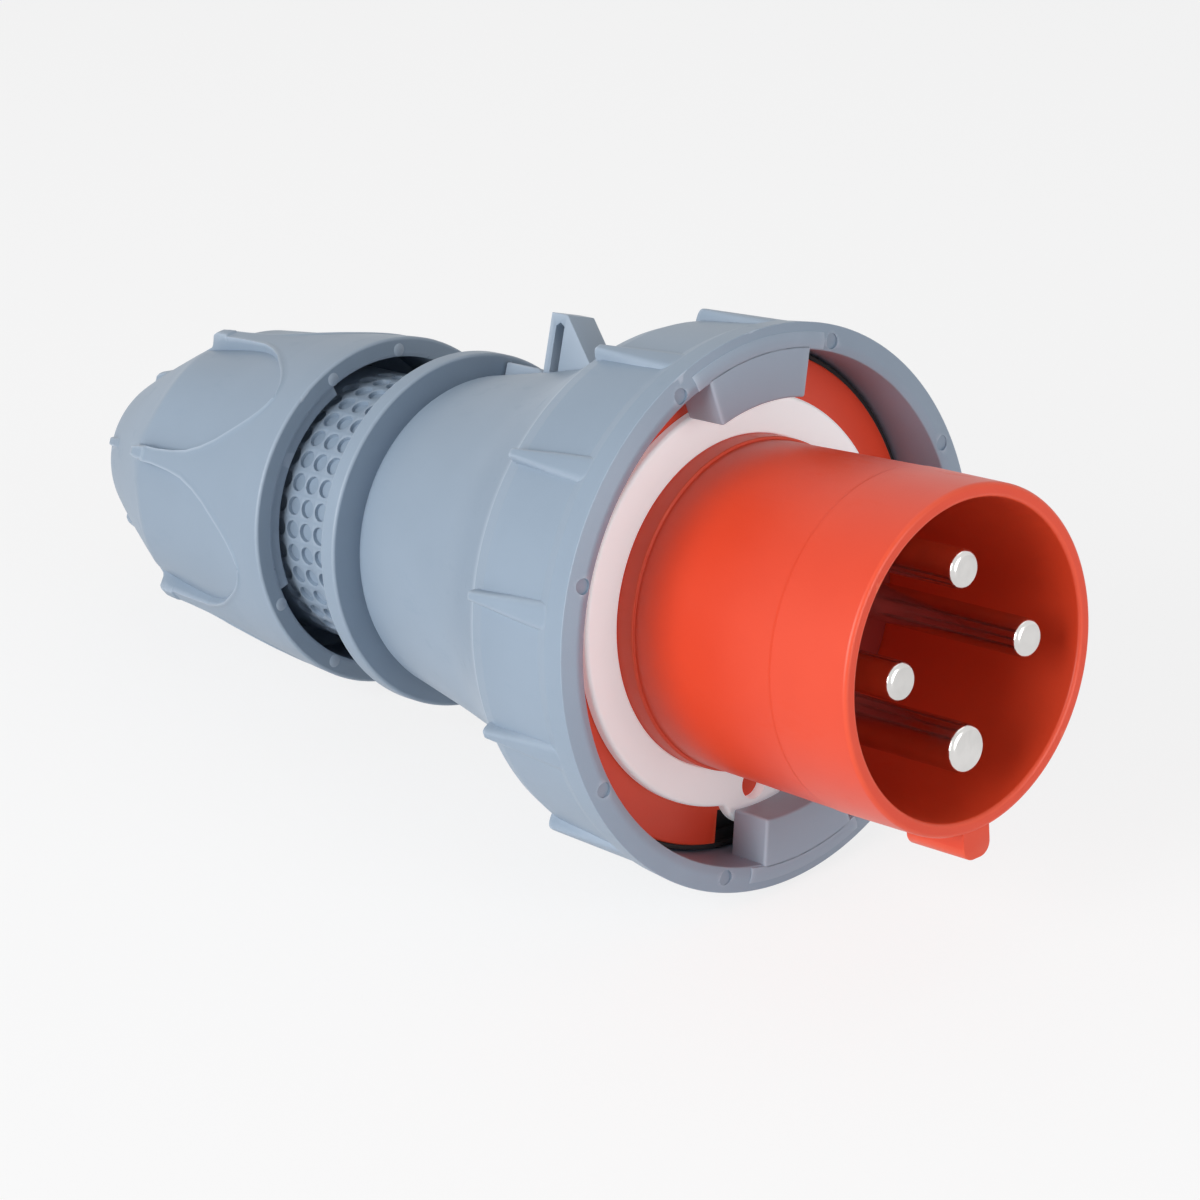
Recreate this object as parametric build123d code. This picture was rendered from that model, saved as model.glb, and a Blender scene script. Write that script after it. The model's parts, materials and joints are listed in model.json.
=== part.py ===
"""Industrial pin and sleeve plug, 63 A size, four pins, with a bayonet ring and a cable gland.

The plug is modelled about its own axis first: X runs along the plug, 0 is the plane of the
sleeve's mouth and everything else lies at negative x. Round pieces are turned about that axis
from a section of (x, radius) points. Angles are clock angles in degrees, clockwise from the top
as seen from the mouth. At the end the whole plug is laid down as it comes to rest, on two ribs
of its bayonet ring and on a ridge of its gland nut, with its nose up. All sizes are millimetres.
"""
from build123d import *
from math import asin, atan, cos, degrees, radians, tan
import os

# Contact sleeve: the red tube with its key, its collar and its round base
mouth_bore_r = 32.5
sleeve_wall = 3.0
mouth_band_length = 20.0
band_step = 0.6
band_step_length = 3.5
sleeve_rear_step = 0.4
collar_step = 0.3
collar_front_x = -58.3
base_front_x = -66.0
base_thickness = 4.5
base_width = 14.2
base_notch_depth = 5.0
base_notch_arc = 30.0
key_width = 7.5
key_length = 16.5
key_slope_length = 4.5
key_r = 41.2
key_setback = 0.4
key_edge_round = 1.4
key_clock = 180.0
mouth_edge_round = 0.9

# Contacts and the carrier that holds them
pin_circle_r = 18.4
pin_tip_x = -1.8
phase_pin_r = 4.0
earth_pin_r = 5.0
pin_tip_round = 1.3
phase_clocks = (0.0, 90.0, 270.0)
carrier_face_x = -52.0
carrier_rear_x = -100.0
carrier_flange_width = 5.5
carrier_flange_thickness = 5.0
carrier_rear_r = 29.0
pin_socket_depth = 12.0
pin_neck_extra_r = 0.5
barrel_extra_r = 2.2
barrel_tail = 3.0
wire_hole_wall = 2.0
wire_hole_depth = 20.0
terminal_screw_r = 2.2
terminal_screw_x = -95.0
terminal_screw_length = 6.5
terminal_window_r = 3.2
carrier_screw_inset = 3.0
carrier_screw_count = 3
carrier_screw_first_clock = 45.0

# Fixing screws of one kind, used for the carrier and for the insert
screw_shank_r = 1.5
screw_head_r = 2.7
screw_head_height = 2.2
screw_bite = 3.4
screw_slot_width = 0.9
screw_slot_depth = 0.9
screw_head_round = 0.6
insert_screw_inset = 5.6
insert_screw_clocks = (90.0, 270.0)

# Seals at the contact end
gasket_width = 7.8
gasket_thickness = 2.5
gasket_lobe_r = 9.0
gasket_hole_r = 4.2
gasket_hole_inset = 4.4
gasket_edge_round = 0.8
seal_width = 1.0
seal_thickness = 2.0

# Bayonet ring
ring_front_x = -52.7
ring_length = 34.7
ring_front_wall = 5.6
ring_band_wall = 4.0
ring_shoulder_wall = 2.1
ring_rear_wall = 2.9
ring_front_band = 6.3
ring_front_drop = 0.5
ring_band_blend = 3.1
ring_shoulder_length = 4.0
ring_lip_length = 4.9
ring_lip_height = 2.1
ring_edge_round = 0.8
ring_turned_clock = -4.5
rib_count = 12
rib_tip_half_width = 1.5
rib_front_half_width = 3.9
rib_overhang = 2.6
rib_rear_rise = 2.9
rib_front_rise = 1.1
rib_front_gap = 7.0
rib_knob_length = 1.5
rib_knob_round = 0.7
rib_root_sink = 0.2
rib_nose_height = 1.2
lug_arc = 28.8
lug_height = 9.7
lug_thickness = 8.8
lug_setback = 1.0

# Housing: the flared bell between the ring and the gland, with the eye for a cap strap
housing_wall = 3.2
housing_setback = 2.0
housing_length = 80.5
housing_collar_wall = 2.35
ring_end_gap = 0.5
collar_wall_step = 2.2
flare_front_rise = 2.8
flare_middle_length = 44.5
flare_middle_r = 44.5
flare_waist_length = 28.5
flare_waist_r = 40.1
flare_rear_r = 35.4
flare_shoulder_length = 4.0
flare_shoulder_drop = 3.0
ledge_thickness = 4.5
ledge_gap = 1.0
eye_clock = 15.0
eye_width = 8.0
eye_top_r = 51.3
eye_top_length = 5.0
eye_rear_length = 19.1
eye_foot_length = 15.9
eye_rear_wall = 1.3
eye_slot_width = 2.6
eye_slot_top_wall = 2.0
eye_foot_sink = 1.5
pad_clock = 31.0
pad_arc = 26.0
pad_rise = 2.5
pad_root_depth = 1.4
pad_lift = 0.5
pad_flat_length = 11.0
pad_slope_length = 7.0

# Gland body: flange, spigot and neck in one piece
flange_r = 39.8
flange_thickness = 4.5
flange_round = 0.8
spigot_r = 27.0
spigot_length = 10.0
gland_ledge_width = 3.5
neck_r = 30.8
neck_length = 59.0
neck_wall = 4.8
seal_pocket_depth = 22.0
o_ring_r = 29.7
o_ring_width = 2.0
o_ring_depth = 1.3
o_ring_round = 0.5

# Cable clamping: rubber seal, slotted cage, thrust ring and gland nut
cable_bore_r = 15.0
cable_seal_length = 12.5
cable_seal_cone = 2.5
cage_flange_drop = 1.3
cage_flange_thickness = 2.2
cage_bore_r = 19.0
cage_slot_count = 8
cage_slot_width = 2.4
cage_slot_wall = 1.0
cage_mouth_flare = 1.0
thrust_ring_thickness = 4.0
thrust_ring_bore_r = 18.5
thrust_ring_chamfer = 0.8
nut_travel = 8.0
travel_spare = 0.8
nut_socket_depth = 51.9
nut_rim_wall = 4.6
nut_rim_round = 0.8
nut_mouth_step = 4.2
nut_mouth_depth = 21.0
nut_lip_height = 2.7
nut_lip_setback = 0.9
nut_lip_length = 2.2
nut_mouth_cone = 2.5
nut_band_length = 6.0
nut_band_drop = 0.5
nut_cheek_length = 16.6
nut_cheek_drop = 1.6
nut_waist_length = 32.6
nut_waist_drop = 2.8
nut_brow_length = 48.6
nut_brow_drop = 3.9
nose_length = 38.0
nose_steps = ((5.4, 3.0), (14.0, 7.0), (24.0, 11.7), (34.0, 16.7), (37.0, 18.4))
nut_end_wall = 1.2
nut_cavity_r = 24.0
nut_cable_hole_gap = 0.6
nut_cable_hole_length = 7.0
leaf_count = 6
leaf_first_clock = -40.0
leaf_setback = 9.5
leaf_length = 56.1
leaf_full_length = 35.1
leaf_half_angle = 27.1
leaf_side_lengths = (28.5, 22.7, 17.5, 12.8, 8.9, 3.7)
leaf_side_angles = (26.3, 25.0, 22.4, 18.9, 14.4, 8.0)
leaf_low_plane = 20.0
leaf_high_plane = 46.0
pillow_lead = 1.9
pillow_front_r = 36.0
pillow_front_drop = 1.0
pillow_rear_r = 16.1
pillow_rear_drop = 2.85
ridge_arc = 5.8
ridge_root_drop = 4.2
ridge_steps = ((8.0, 0.6), (-3.5, 0.3), (-5.7, -0.6), (-6.7, -2.2))
nib_arc = 6.3
nib_steps = ((11.0, 4.9), (10.5, 6.9), (5.0, 5.7), (3.6, 4.7), (3.6, 2.9))

# Clearances
running_gap = 0.4
seat_gap = 0.3
screw_gap = 0.15
cut_past = 1.0

# Places worked out from the sizes above: the contact end
mouth_r = mouth_bore_r + sleeve_wall
collar_r = mouth_r + collar_step
base_r = collar_r + base_width
base_notch_r = base_r - base_notch_depth
gasket_r = collar_r + gasket_width
gasket_hole_circle_r = collar_r + gasket_hole_inset
base_back_x = base_front_x - base_thickness
carrier_r = mouth_bore_r - seat_gap
carrier_flange_r = mouth_bore_r + carrier_flange_width
carrier_screw_circle_r = carrier_flange_r - carrier_screw_inset
carrier_flange_back_x = base_back_x - carrier_flange_thickness
seal_outer_r = base_r + seal_width + screw_gap

# The housing's collar and the ring that turns on it
housing_front_x = base_front_x - housing_setback
housing_rear_x = housing_front_x - housing_length
collar_outer_r = seal_outer_r + housing_collar_wall
collar_inner_r = collar_outer_r - housing_wall - collar_wall_step
ledge_bore_r = carrier_flange_r + ledge_gap
insert_screw_circle_r = ledge_bore_r + insert_screw_inset
ring_rear_x = ring_front_x - ring_length
ring_bore_r = collar_outer_r + running_gap
ring_front_r = ring_bore_r + ring_front_wall
ring_band_r = ring_bore_r + ring_band_wall
ring_shoulder_r = ring_bore_r + ring_shoulder_wall
lip_bore_r = ring_bore_r - ring_lip_height
ring_rear_r = lip_bore_r + ring_rear_wall
lug_inner_r = ring_bore_r - lug_height
rib_pitch = 360.0 / rib_count
rib_rear_x = ring_rear_x - rib_overhang
rib_rear_r = ring_rear_r + rib_rear_rise
rib_front_r = ring_band_r + rib_front_rise

# The bell, its eye and its pad
housing_groove_r = lip_bore_r - running_gap
collar_back_x = ring_rear_x + ring_lip_length + ring_end_gap
flare_start_x = ring_rear_x - seat_gap
flare_front_r = housing_groove_r + flare_front_rise
flare_middle_x = housing_rear_x + flare_middle_length
flare_waist_x = housing_rear_x + flare_waist_length
flare_end_x = housing_rear_x + flare_shoulder_length
flare_end_r = flare_rear_r - flare_shoulder_drop
eye_rear_x = housing_rear_x + eye_rear_length
eye_front_foot_x = eye_rear_x + eye_foot_length
pad_r = flare_rear_r + pad_rise
pad_root_r = flare_rear_r - pad_root_depth
pad_flat_end_x = housing_rear_x + pad_flat_length
pad_foot_x = pad_flat_end_x + pad_slope_length

# The gland and the stack that the nut tightens
flange_back_x = housing_rear_x - flange_thickness
neck_end_x = flange_back_x - neck_length
seal_pocket_r = neck_r - neck_wall
gland_bore_r = seal_pocket_r - gland_ledge_width
seal_ledge_x = neck_end_x + seal_pocket_depth
cage_back_x = neck_end_x - cage_flange_thickness
cage_flange_r = neck_r - cage_flange_drop
thrust_front_x = cage_back_x - travel_spare - nut_travel
thrust_back_x = thrust_front_x - thrust_ring_thickness
nut_shoulder_x = thrust_back_x - seat_gap
nut_thread_r = neck_r + seat_gap
thrust_ring_r = nut_thread_r - seat_gap

# The nut's outline, grips, ridges and nibs
nut_rim_x = nut_shoulder_x + nut_socket_depth
nut_mouth_r = nut_thread_r + nut_mouth_step
nut_lip_r = nut_mouth_r - nut_lip_height
nut_rim_r = nut_mouth_r + nut_rim_wall
nut_brow_x = nut_rim_x - nut_brow_length
nut_brow_r = nut_rim_r - nut_brow_drop
nut_end_x = nut_brow_x - nose_length
nut_cable_hole_r = cable_bore_r + nut_cable_hole_gap
nut_end_r = nut_cable_hole_r + nut_end_wall
leaf_front_x = nut_rim_x - leaf_setback
leaf_full_x = leaf_front_x - leaf_full_length
leaf_rear_x = leaf_front_x - leaf_length
ridge_root_r = nut_brow_r - ridge_root_drop
ridge_top = [(nut_brow_x + along, nut_brow_r + out) for along, out in ridge_steps]

# How the plug lies: the tilt comes from the two ribs and the nut's ridge that touch the surface
knob_clock = rib_pitch / 2 - degrees(asin(rib_tip_half_width / rib_rear_r))
knob_drop = rib_rear_r * cos(radians(knob_clock))
knob_x = rib_rear_x + rib_knob_length
ridge_rest_x, ridge_rest_r = ridge_top[1]
ridge_clock = abs(leaf_first_clock + 180.0 / leaf_count - ring_turned_clock) - ridge_arc / 2
ridge_drop = ridge_rest_r * cos(radians(ridge_clock))
nose_up = degrees(atan((knob_drop - ridge_drop) / (knob_x - ridge_rest_x)))


def turned(points, arc=360.0):
    """Turn a closed section of (x, radius) points about the plug's axis."""
    with BuildPart() as piece:
        with BuildSketch(Plane.XY):
            with BuildLine():
                Polyline(*points, close=True)
            make_face()
        revolve(axis=Axis.X, revolution_arc=arc)
    return piece.part


def sector(points, arc, clock):
    """Turn a section through an arc that is centred on a clock angle."""
    half = turned(points, arc)
    return Rot(X=90.0 - clock - arc / 2) * half


def at_clock(shape, clock):
    """Carry a shape from the top of the plug round to a clock angle."""
    return Rot(X=-clock) * shape


def rod(radius, front_x, back_x, out=0.0):
    """A round bar along the plug's axis, a distance out from it at the top."""
    length = front_x - back_x
    bar = Cylinder(radius, length, rotation=(0, 90, 0))
    return Pos((front_x + back_x) / 2, 0, out) * bar


def side_plate(points, width):
    """Extrude an (x, z) outline to both sides of the plug's middle plane."""
    with BuildPart() as piece:
        with BuildSketch(Plane.XZ):
            with BuildLine():
                Polyline(*points, close=True)
            make_face()
        extrude(amount=width / 2, both=True)
    return piece.part


def fixing_screw(head_x, grip):
    """A slotted screw whose head is behind head_x and whose shank runs forward from it."""
    head = rod(screw_head_r, head_x, head_x - screw_head_height)
    head = fillet(head.edges().filter_by(GeomType.CIRCLE).sort_by(Axis.X)[0], screw_head_round)
    shank = rod(screw_shank_r, head_x + grip + screw_bite, head_x)
    slot_x = head_x - screw_head_height + screw_slot_depth / 2
    slot = Pos(slot_x, 0, 0) * Box(screw_slot_depth, screw_slot_width, 3 * screw_head_r)
    return head + shank - slot


def sleeve_body():
    """The red moulding: mouth band, sleeve, collar, base disc and key."""
    rear_r = mouth_r - band_step - sleeve_rear_step
    step_end_x = -mouth_band_length - band_step_length
    tube = turned([
        (0, mouth_bore_r), (0, mouth_r), (-mouth_band_length, mouth_r),
        (step_end_x, mouth_r - band_step), (collar_front_x, rear_r),
        (collar_front_x, collar_r), (base_front_x, collar_r), (base_front_x, base_r),
        (base_back_x, base_r), (base_back_x, mouth_bore_r),
    ])
    mouth_edges = tube.edges().filter_by(GeomType.CIRCLE).group_by(Axis.X)[-1]
    tube = fillet(mouth_edges, mouth_edge_round)
    key = side_plate([
        (-key_setback, mouth_bore_r + sleeve_wall / 2), (-key_setback, key_r),
        (key_slope_length - key_length, key_r), (-key_length, mouth_r - band_step),
        (-key_length, mouth_bore_r + sleeve_wall / 2),
    ], key_width)
    top_edges = key.edges().filter_by(Axis.X).group_by(Axis.Z)[-1]
    key = fillet(top_edges, key_edge_round)
    notch = sector([
        (base_front_x + cut_past, base_notch_r), (base_front_x + cut_past, base_r + cut_past),
        (base_back_x - cut_past, base_r + cut_past), (base_back_x - cut_past, base_notch_r),
    ], base_notch_arc, key_clock)
    body = tube + at_clock(key, key_clock) - notch
    for clock in insert_screw_clocks:
        hole = rod(screw_shank_r + screw_gap, base_back_x + screw_bite + screw_gap,
                   base_back_x, insert_screw_circle_r)
        body -= at_clock(hole, clock)
    for clock in carrier_screw_clocks():
        hole = rod(screw_shank_r + screw_gap, base_back_x + screw_bite + screw_gap,
                   base_back_x, carrier_screw_circle_r)
        body -= at_clock(hole, clock)
    return body


def carrier_screw_clocks():
    step = 360.0 / carrier_screw_count
    return [carrier_screw_first_clock + step * n for n in range(carrier_screw_count)]


def contact_places():
    """Name, clock angle and radius of each contact pin."""
    places = [(f"phase_pin_{n + 1}", clock, phase_pin_r) for n, clock in enumerate(phase_clocks)]
    return places + [("earth_pin", key_clock, earth_pin_r)]


def contact_carrier():
    """The insulator in the sleeve: it closes the sleeve and holds the four contacts."""
    body = turned([
        (carrier_face_x, 0), (carrier_face_x, carrier_r), (base_back_x, carrier_r),
        (base_back_x, carrier_flange_r), (carrier_flange_back_x, carrier_flange_r),
        (carrier_flange_back_x, carrier_rear_r), (carrier_rear_x, carrier_rear_r),
        (carrier_rear_x, 0),
    ])
    for name, clock, radius in contact_places():
        pocket_r = radius + barrel_extra_r + screw_gap
        step_x = carrier_face_x - pin_socket_depth
        bore_r = radius + pin_neck_extra_r + screw_gap
        bore = rod(bore_r, carrier_face_x + cut_past, step_x - cut_past, pin_circle_r)
        pocket = rod(pocket_r, step_x, carrier_rear_x - cut_past, pin_circle_r)
        window = Cylinder(terminal_window_r, 2 * carrier_rear_r)
        window = Pos(terminal_screw_x, 0, pin_circle_r + carrier_rear_r) * window
        body -= at_clock(bore + pocket + window, clock)
    for clock in carrier_screw_clocks():
        hole = rod(screw_shank_r + screw_gap, base_back_x + cut_past,
                   carrier_flange_back_x - cut_past, carrier_screw_circle_r)
        body -= at_clock(hole, clock)
    return body


def contact_pin(radius, clock):
    """A plated pin with its neck in the carrier and its terminal barrel, bored for the wire."""
    barrel_r = radius + barrel_extra_r
    step_x = carrier_face_x - pin_socket_depth
    barrel_back_x = carrier_rear_x - barrel_tail
    pin = rod(radius, pin_tip_x, carrier_face_x)
    tip = pin.edges().filter_by(GeomType.CIRCLE).sort_by(Axis.X)[-1]
    pin = fillet(tip, pin_tip_round)
    neck = rod(radius + pin_neck_extra_r, carrier_face_x, step_x)
    barrel = rod(barrel_r, step_x, barrel_back_x)
    wire_hole = rod(barrel_r - wire_hole_wall, barrel_back_x + wire_hole_depth,
                    barrel_back_x - cut_past)
    screw_hole = Cylinder(terminal_screw_r + screw_gap, 2 * barrel_r)
    screw_hole = Pos(terminal_screw_x, 0, barrel_r) * screw_hole
    whole = pin + neck + barrel - wire_hole - screw_hole
    return at_clock(Pos(0, 0, pin_circle_r) * whole, clock)


def terminal_screw(radius, clock):
    """The screw that presses the wire in one barrel, reached from the side."""
    foot = pin_circle_r + radius + barrel_extra_r - wire_hole_wall
    screw = Pos(terminal_screw_x, 0, foot + terminal_screw_length / 2) * \
        Cylinder(terminal_screw_r, terminal_screw_length)
    slot = Pos(terminal_screw_x, 0, foot + terminal_screw_length) * \
        Box(3 * terminal_screw_r, screw_slot_width, 2 * screw_slot_depth)
    return at_clock(screw - slot, clock)


def face_gasket():
    """The pale flat seal round the collar, with its round lobe and hole at the key."""
    front_x = base_front_x + gasket_thickness
    inner_r = collar_r + screw_gap
    ring = turned([
        (front_x, inner_r), (front_x, gasket_r), (base_front_x, gasket_r), (base_front_x, inner_r),
    ])
    lobe = rod(gasket_lobe_r, front_x, base_front_x, gasket_hole_circle_r)
    core = rod(inner_r, front_x + cut_past, base_front_x - cut_past)
    hole = rod(gasket_hole_r, front_x + cut_past, base_front_x - cut_past, gasket_hole_circle_r)
    gasket = ring + at_clock(lobe - core, key_clock) - at_clock(hole, key_clock)
    outer = [e for e in gasket.faces().sort_by(Axis.X)[-1].outer_wire().edges()]
    return fillet(outer, gasket_edge_round)


def base_seal():
    """The black ring between the base disc and the front end of the housing."""
    inner_r = base_r + screw_gap
    front_x = base_back_x + seal_thickness
    return turned([
        (front_x, inner_r), (front_x, inner_r + seal_width - screw_gap),
        (base_back_x, inner_r + seal_width - screw_gap), (base_back_x, inner_r),
    ])


def bayonet_ring():
    """The turning ring: stepped band, wedge ribs to grip it by, and two lugs inside."""
    band = turned([
        (ring_front_x, ring_bore_r + ring_edge_round),
        (ring_front_x, ring_front_r - ring_edge_round),
        (ring_front_x - ring_edge_round, ring_front_r),
        (ring_front_x - ring_front_band, ring_front_r - ring_front_drop),
        (ring_front_x - ring_front_band - ring_band_blend, ring_band_r),
        (ring_rear_x + ring_shoulder_length, ring_shoulder_r),
        (ring_rear_x, ring_rear_r), (ring_rear_x, lip_bore_r),
        (ring_rear_x + ring_lip_length, lip_bore_r), (ring_rear_x + ring_lip_length, ring_bore_r),
        (ring_front_x - ring_edge_round, ring_bore_r),
    ])
    root_r = ring_rear_r - rib_root_sink
    rib_front_x = ring_front_x - rib_front_gap
    envelope = turned([
        (rib_rear_x + rib_knob_round, root_r), (rib_rear_x, root_r + rib_nose_height),
        (rib_rear_x + rib_knob_round / 2, rib_rear_r - rib_knob_round), (knob_x, rib_rear_r),
        (rib_front_x, rib_front_r), (rib_front_x, root_r),
    ])
    wedge_plan = [
        (rib_rear_x - cut_past, -rib_tip_half_width), (knob_x, -rib_tip_half_width),
        (rib_front_x, -rib_front_half_width), (rib_front_x, rib_front_half_width),
        (knob_x, rib_tip_half_width), (rib_rear_x - cut_past, rib_tip_half_width),
    ]
    with BuildPart() as wedge:
        with BuildSketch(Plane.XY.offset(ring_bore_r - cut_past)):
            with BuildLine():
                Polyline(*wedge_plan, close=True)
            make_face()
        extrude(amount=ring_front_wall + 2 * cut_past)
    rib = envelope & wedge.part
    for n in range(rib_count):
        band += at_clock(rib, rib_pitch * (n + 0.5))
    lug_front_x = ring_front_x - lug_setback
    lug_section = [
        (lug_front_x, lug_inner_r), (lug_front_x, ring_bore_r + cut_past),
        (lug_front_x - lug_thickness, ring_bore_r + cut_past), (lug_front_x - lug_thickness, lug_inner_r),
    ]
    for clock in (0.0, 180.0):
        band += sector(lug_section, lug_arc, clock)
    return at_clock(band, ring_turned_clock)


def flare_waypoints(inset):
    """The points that the bell's curve runs through, moved inwards by a wall thickness."""
    return [
        (flare_start_x, flare_front_r - inset), (flare_middle_x, flare_middle_r - inset),
        (flare_waist_x, flare_waist_r - inset), (flare_end_x, flare_rear_r - inset),
    ]


def front_housing():
    """The bell: collar for the ring, inner ledge for the insert, flare and rear wall."""
    outer = flare_waypoints(0.0)
    inner = flare_waypoints(housing_wall)
    ledge_back_x = base_back_x - ledge_thickness
    with BuildPart() as bell:
        with BuildSketch(Plane.XY):
            with BuildLine():
                Polyline(
                    (flare_start_x, flare_front_r), (flare_start_x, housing_groove_r),
                    (collar_back_x, housing_groove_r), (collar_back_x, collar_outer_r),
                    (housing_front_x, collar_outer_r), (housing_front_x, seal_outer_r),
                    (base_back_x, seal_outer_r), (base_back_x, ledge_bore_r),
                    (ledge_back_x, ledge_bore_r), (ledge_back_x, collar_inner_r),
                    (flare_start_x, collar_inner_r), inner[0],
                )
                Spline(*inner)
                Polyline(
                    inner[-1], (flare_end_x, spigot_r + seat_gap),
                    (housing_rear_x, spigot_r + seat_gap), (housing_rear_x, flare_end_r),
                    outer[-1],
                )
                Spline(*reversed(outer))
            make_face()
        revolve(axis=Axis.X)
    eye = side_plate([
        (eye_rear_x, eye_top_r), (eye_rear_x + eye_top_length, eye_top_r),
        (eye_front_foot_x, flare_waist_r), (eye_front_foot_x, flare_waist_r - eye_foot_sink),
        (eye_rear_x, flare_rear_r),
    ], eye_width)
    slot_rear_x = eye_rear_x + eye_rear_wall
    slot_foot_r = flare_waist_r - eye_foot_sink / 2
    slot_top_r = eye_top_r - eye_slot_top_wall
    slot = side_plate([
        (slot_rear_x, slot_foot_r), (slot_rear_x, slot_top_r),
        (slot_rear_x + eye_slot_width, slot_top_r), (slot_rear_x + eye_slot_width, slot_foot_r),
    ], eye_width + 2 * cut_past)
    pad = sector([
        (housing_rear_x + pad_lift, pad_root_r), (housing_rear_x + pad_lift, pad_r),
        (pad_flat_end_x, pad_r), (pad_foot_x, pad_root_r),
    ], pad_arc, pad_clock)
    body = bell.part + at_clock(eye - slot, eye_clock) + pad
    for clock in insert_screw_clocks:
        hole = rod(screw_shank_r + screw_gap, base_back_x + cut_past, ledge_back_x - cut_past,
                   insert_screw_circle_r)
        body -= at_clock(hole, clock)
    return body


def gland_body():
    """Flange, spigot into the housing and neck that the nut screws on, with its seal pocket."""
    body = turned([
        (housing_rear_x + spigot_length, gland_bore_r), (housing_rear_x + spigot_length, spigot_r),
        (housing_rear_x, spigot_r), (housing_rear_x, flange_r), (flange_back_x, flange_r),
        (flange_back_x, neck_r), (neck_end_x, neck_r), (neck_end_x, seal_pocket_r),
        (seal_ledge_x, seal_pocket_r), (seal_ledge_x, gland_bore_r),
    ])
    rim = body.edges().filter_by(GeomType.CIRCLE).filter_by(lambda e: abs(e.radius - flange_r) < 0.01)
    body = fillet(rim, flange_round)
    groove = turned([
        (housing_rear_x + cut_past, o_ring_r - o_ring_width / 2 - screw_gap),
        (housing_rear_x + cut_past, o_ring_r + o_ring_width / 2 + screw_gap),
        (housing_rear_x - o_ring_depth - screw_gap, o_ring_r + o_ring_width / 2 + screw_gap),
        (housing_rear_x - o_ring_depth - screw_gap, o_ring_r - o_ring_width / 2 - screw_gap),
    ])
    return body - groove


def body_o_ring():
    """The rubber ring in the flange's groove, pressed by the housing's rear wall."""
    ring = turned([
        (housing_rear_x, o_ring_r - o_ring_width / 2), (housing_rear_x, o_ring_r + o_ring_width / 2),
        (housing_rear_x - o_ring_depth, o_ring_r + o_ring_width / 2),
        (housing_rear_x - o_ring_depth, o_ring_r - o_ring_width / 2),
    ])
    return fillet(ring.edges().filter_by(GeomType.CIRCLE).group_by(Axis.X)[0], o_ring_round)


def gland_seal():
    """The rubber bush that grips the cable when the nut is tightened."""
    outer_r = seal_pocket_r - seat_gap
    rear_x = seal_ledge_x - cable_seal_length
    return turned([
        (seal_ledge_x, cable_bore_r), (seal_ledge_x, outer_r),
        (rear_x + cable_seal_cone, outer_r), (rear_x, outer_r - cable_seal_cone),
        (rear_x, cable_bore_r),
    ])


def clamp_cage():
    """The slotted plastic ring between the seal and the thrust ring."""
    outer_r = seal_pocket_r - seat_gap
    front_x = seal_ledge_x - cable_seal_length
    ring = turned([
        (front_x, cage_bore_r + cage_mouth_flare), (front_x, outer_r - cable_seal_cone),
        (front_x - cable_seal_cone, outer_r), (neck_end_x, outer_r), (neck_end_x, cage_flange_r),
        (cage_back_x, cage_flange_r), (cage_back_x, cage_bore_r),
    ])
    slot_length = front_x - neck_end_x - cage_slot_wall
    slot = Pos(front_x - slot_length / 2, 0, seal_pocket_r / 2 + cage_bore_r / 2) * \
        Box(slot_length, cage_slot_width, seal_pocket_r)
    for n in range(cage_slot_count):
        ring -= at_clock(slot, 360.0 / cage_slot_count * n)
    return ring


def thrust_ring():
    """The smooth ring that the nut pushes without turning it."""
    ring = turned([
        (thrust_front_x, thrust_ring_bore_r), (thrust_front_x, thrust_ring_r),
        (thrust_back_x, thrust_ring_r), (thrust_back_x, thrust_ring_bore_r),
    ])
    return chamfer(ring.edges().filter_by(GeomType.CIRCLE).group_by(Axis.X)[-1], thrust_ring_chamfer)


def leaf_outline(plane_r):
    """The leaf's outline on a plane plane_r from the axis; its sides lean towards the axis."""
    side = [(leaf_full_x, plane_r * tan(radians(leaf_half_angle)))]
    side += [(leaf_front_x - back, plane_r * tan(radians(angle)))
             for back, angle in zip(leaf_side_lengths, leaf_side_angles)]
    other_side = [(x, -y) for x, y in reversed(side)]
    rear = [(x, y) for x, y in ((leaf_rear_x, other_side[-1][1]), (leaf_rear_x, side[0][1]))]
    with BuildSketch(Plane.XY.offset(plane_r)) as outline:
        with BuildLine():
            Spline(*side, (leaf_front_x, 0), *other_side, tangents=[(1, 0), (-1, 0)])
            Polyline(other_side[-1], *rear, side[0])
        make_face()
    return outline.sketch


def leaf_cutter():
    """What is moulded away at the top for one grip: the leaf's outline above a swollen floor."""
    prism = loft([leaf_outline(leaf_low_plane), leaf_outline(leaf_high_plane)])
    front_out = nut_rim_r - pillow_front_drop - pillow_front_r
    rear_out = nut_brow_r - pillow_rear_drop - pillow_rear_r
    front_middle = Plane.YZ.offset(leaf_front_x + pillow_lead) * Pos(0, front_out)
    rear_middle = Plane.YZ.offset(leaf_rear_x - cut_past) * Pos(0, rear_out)
    pillow = loft([front_middle * Circle(pillow_front_r), rear_middle * Circle(pillow_rear_r)])
    return prism - pillow


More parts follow.
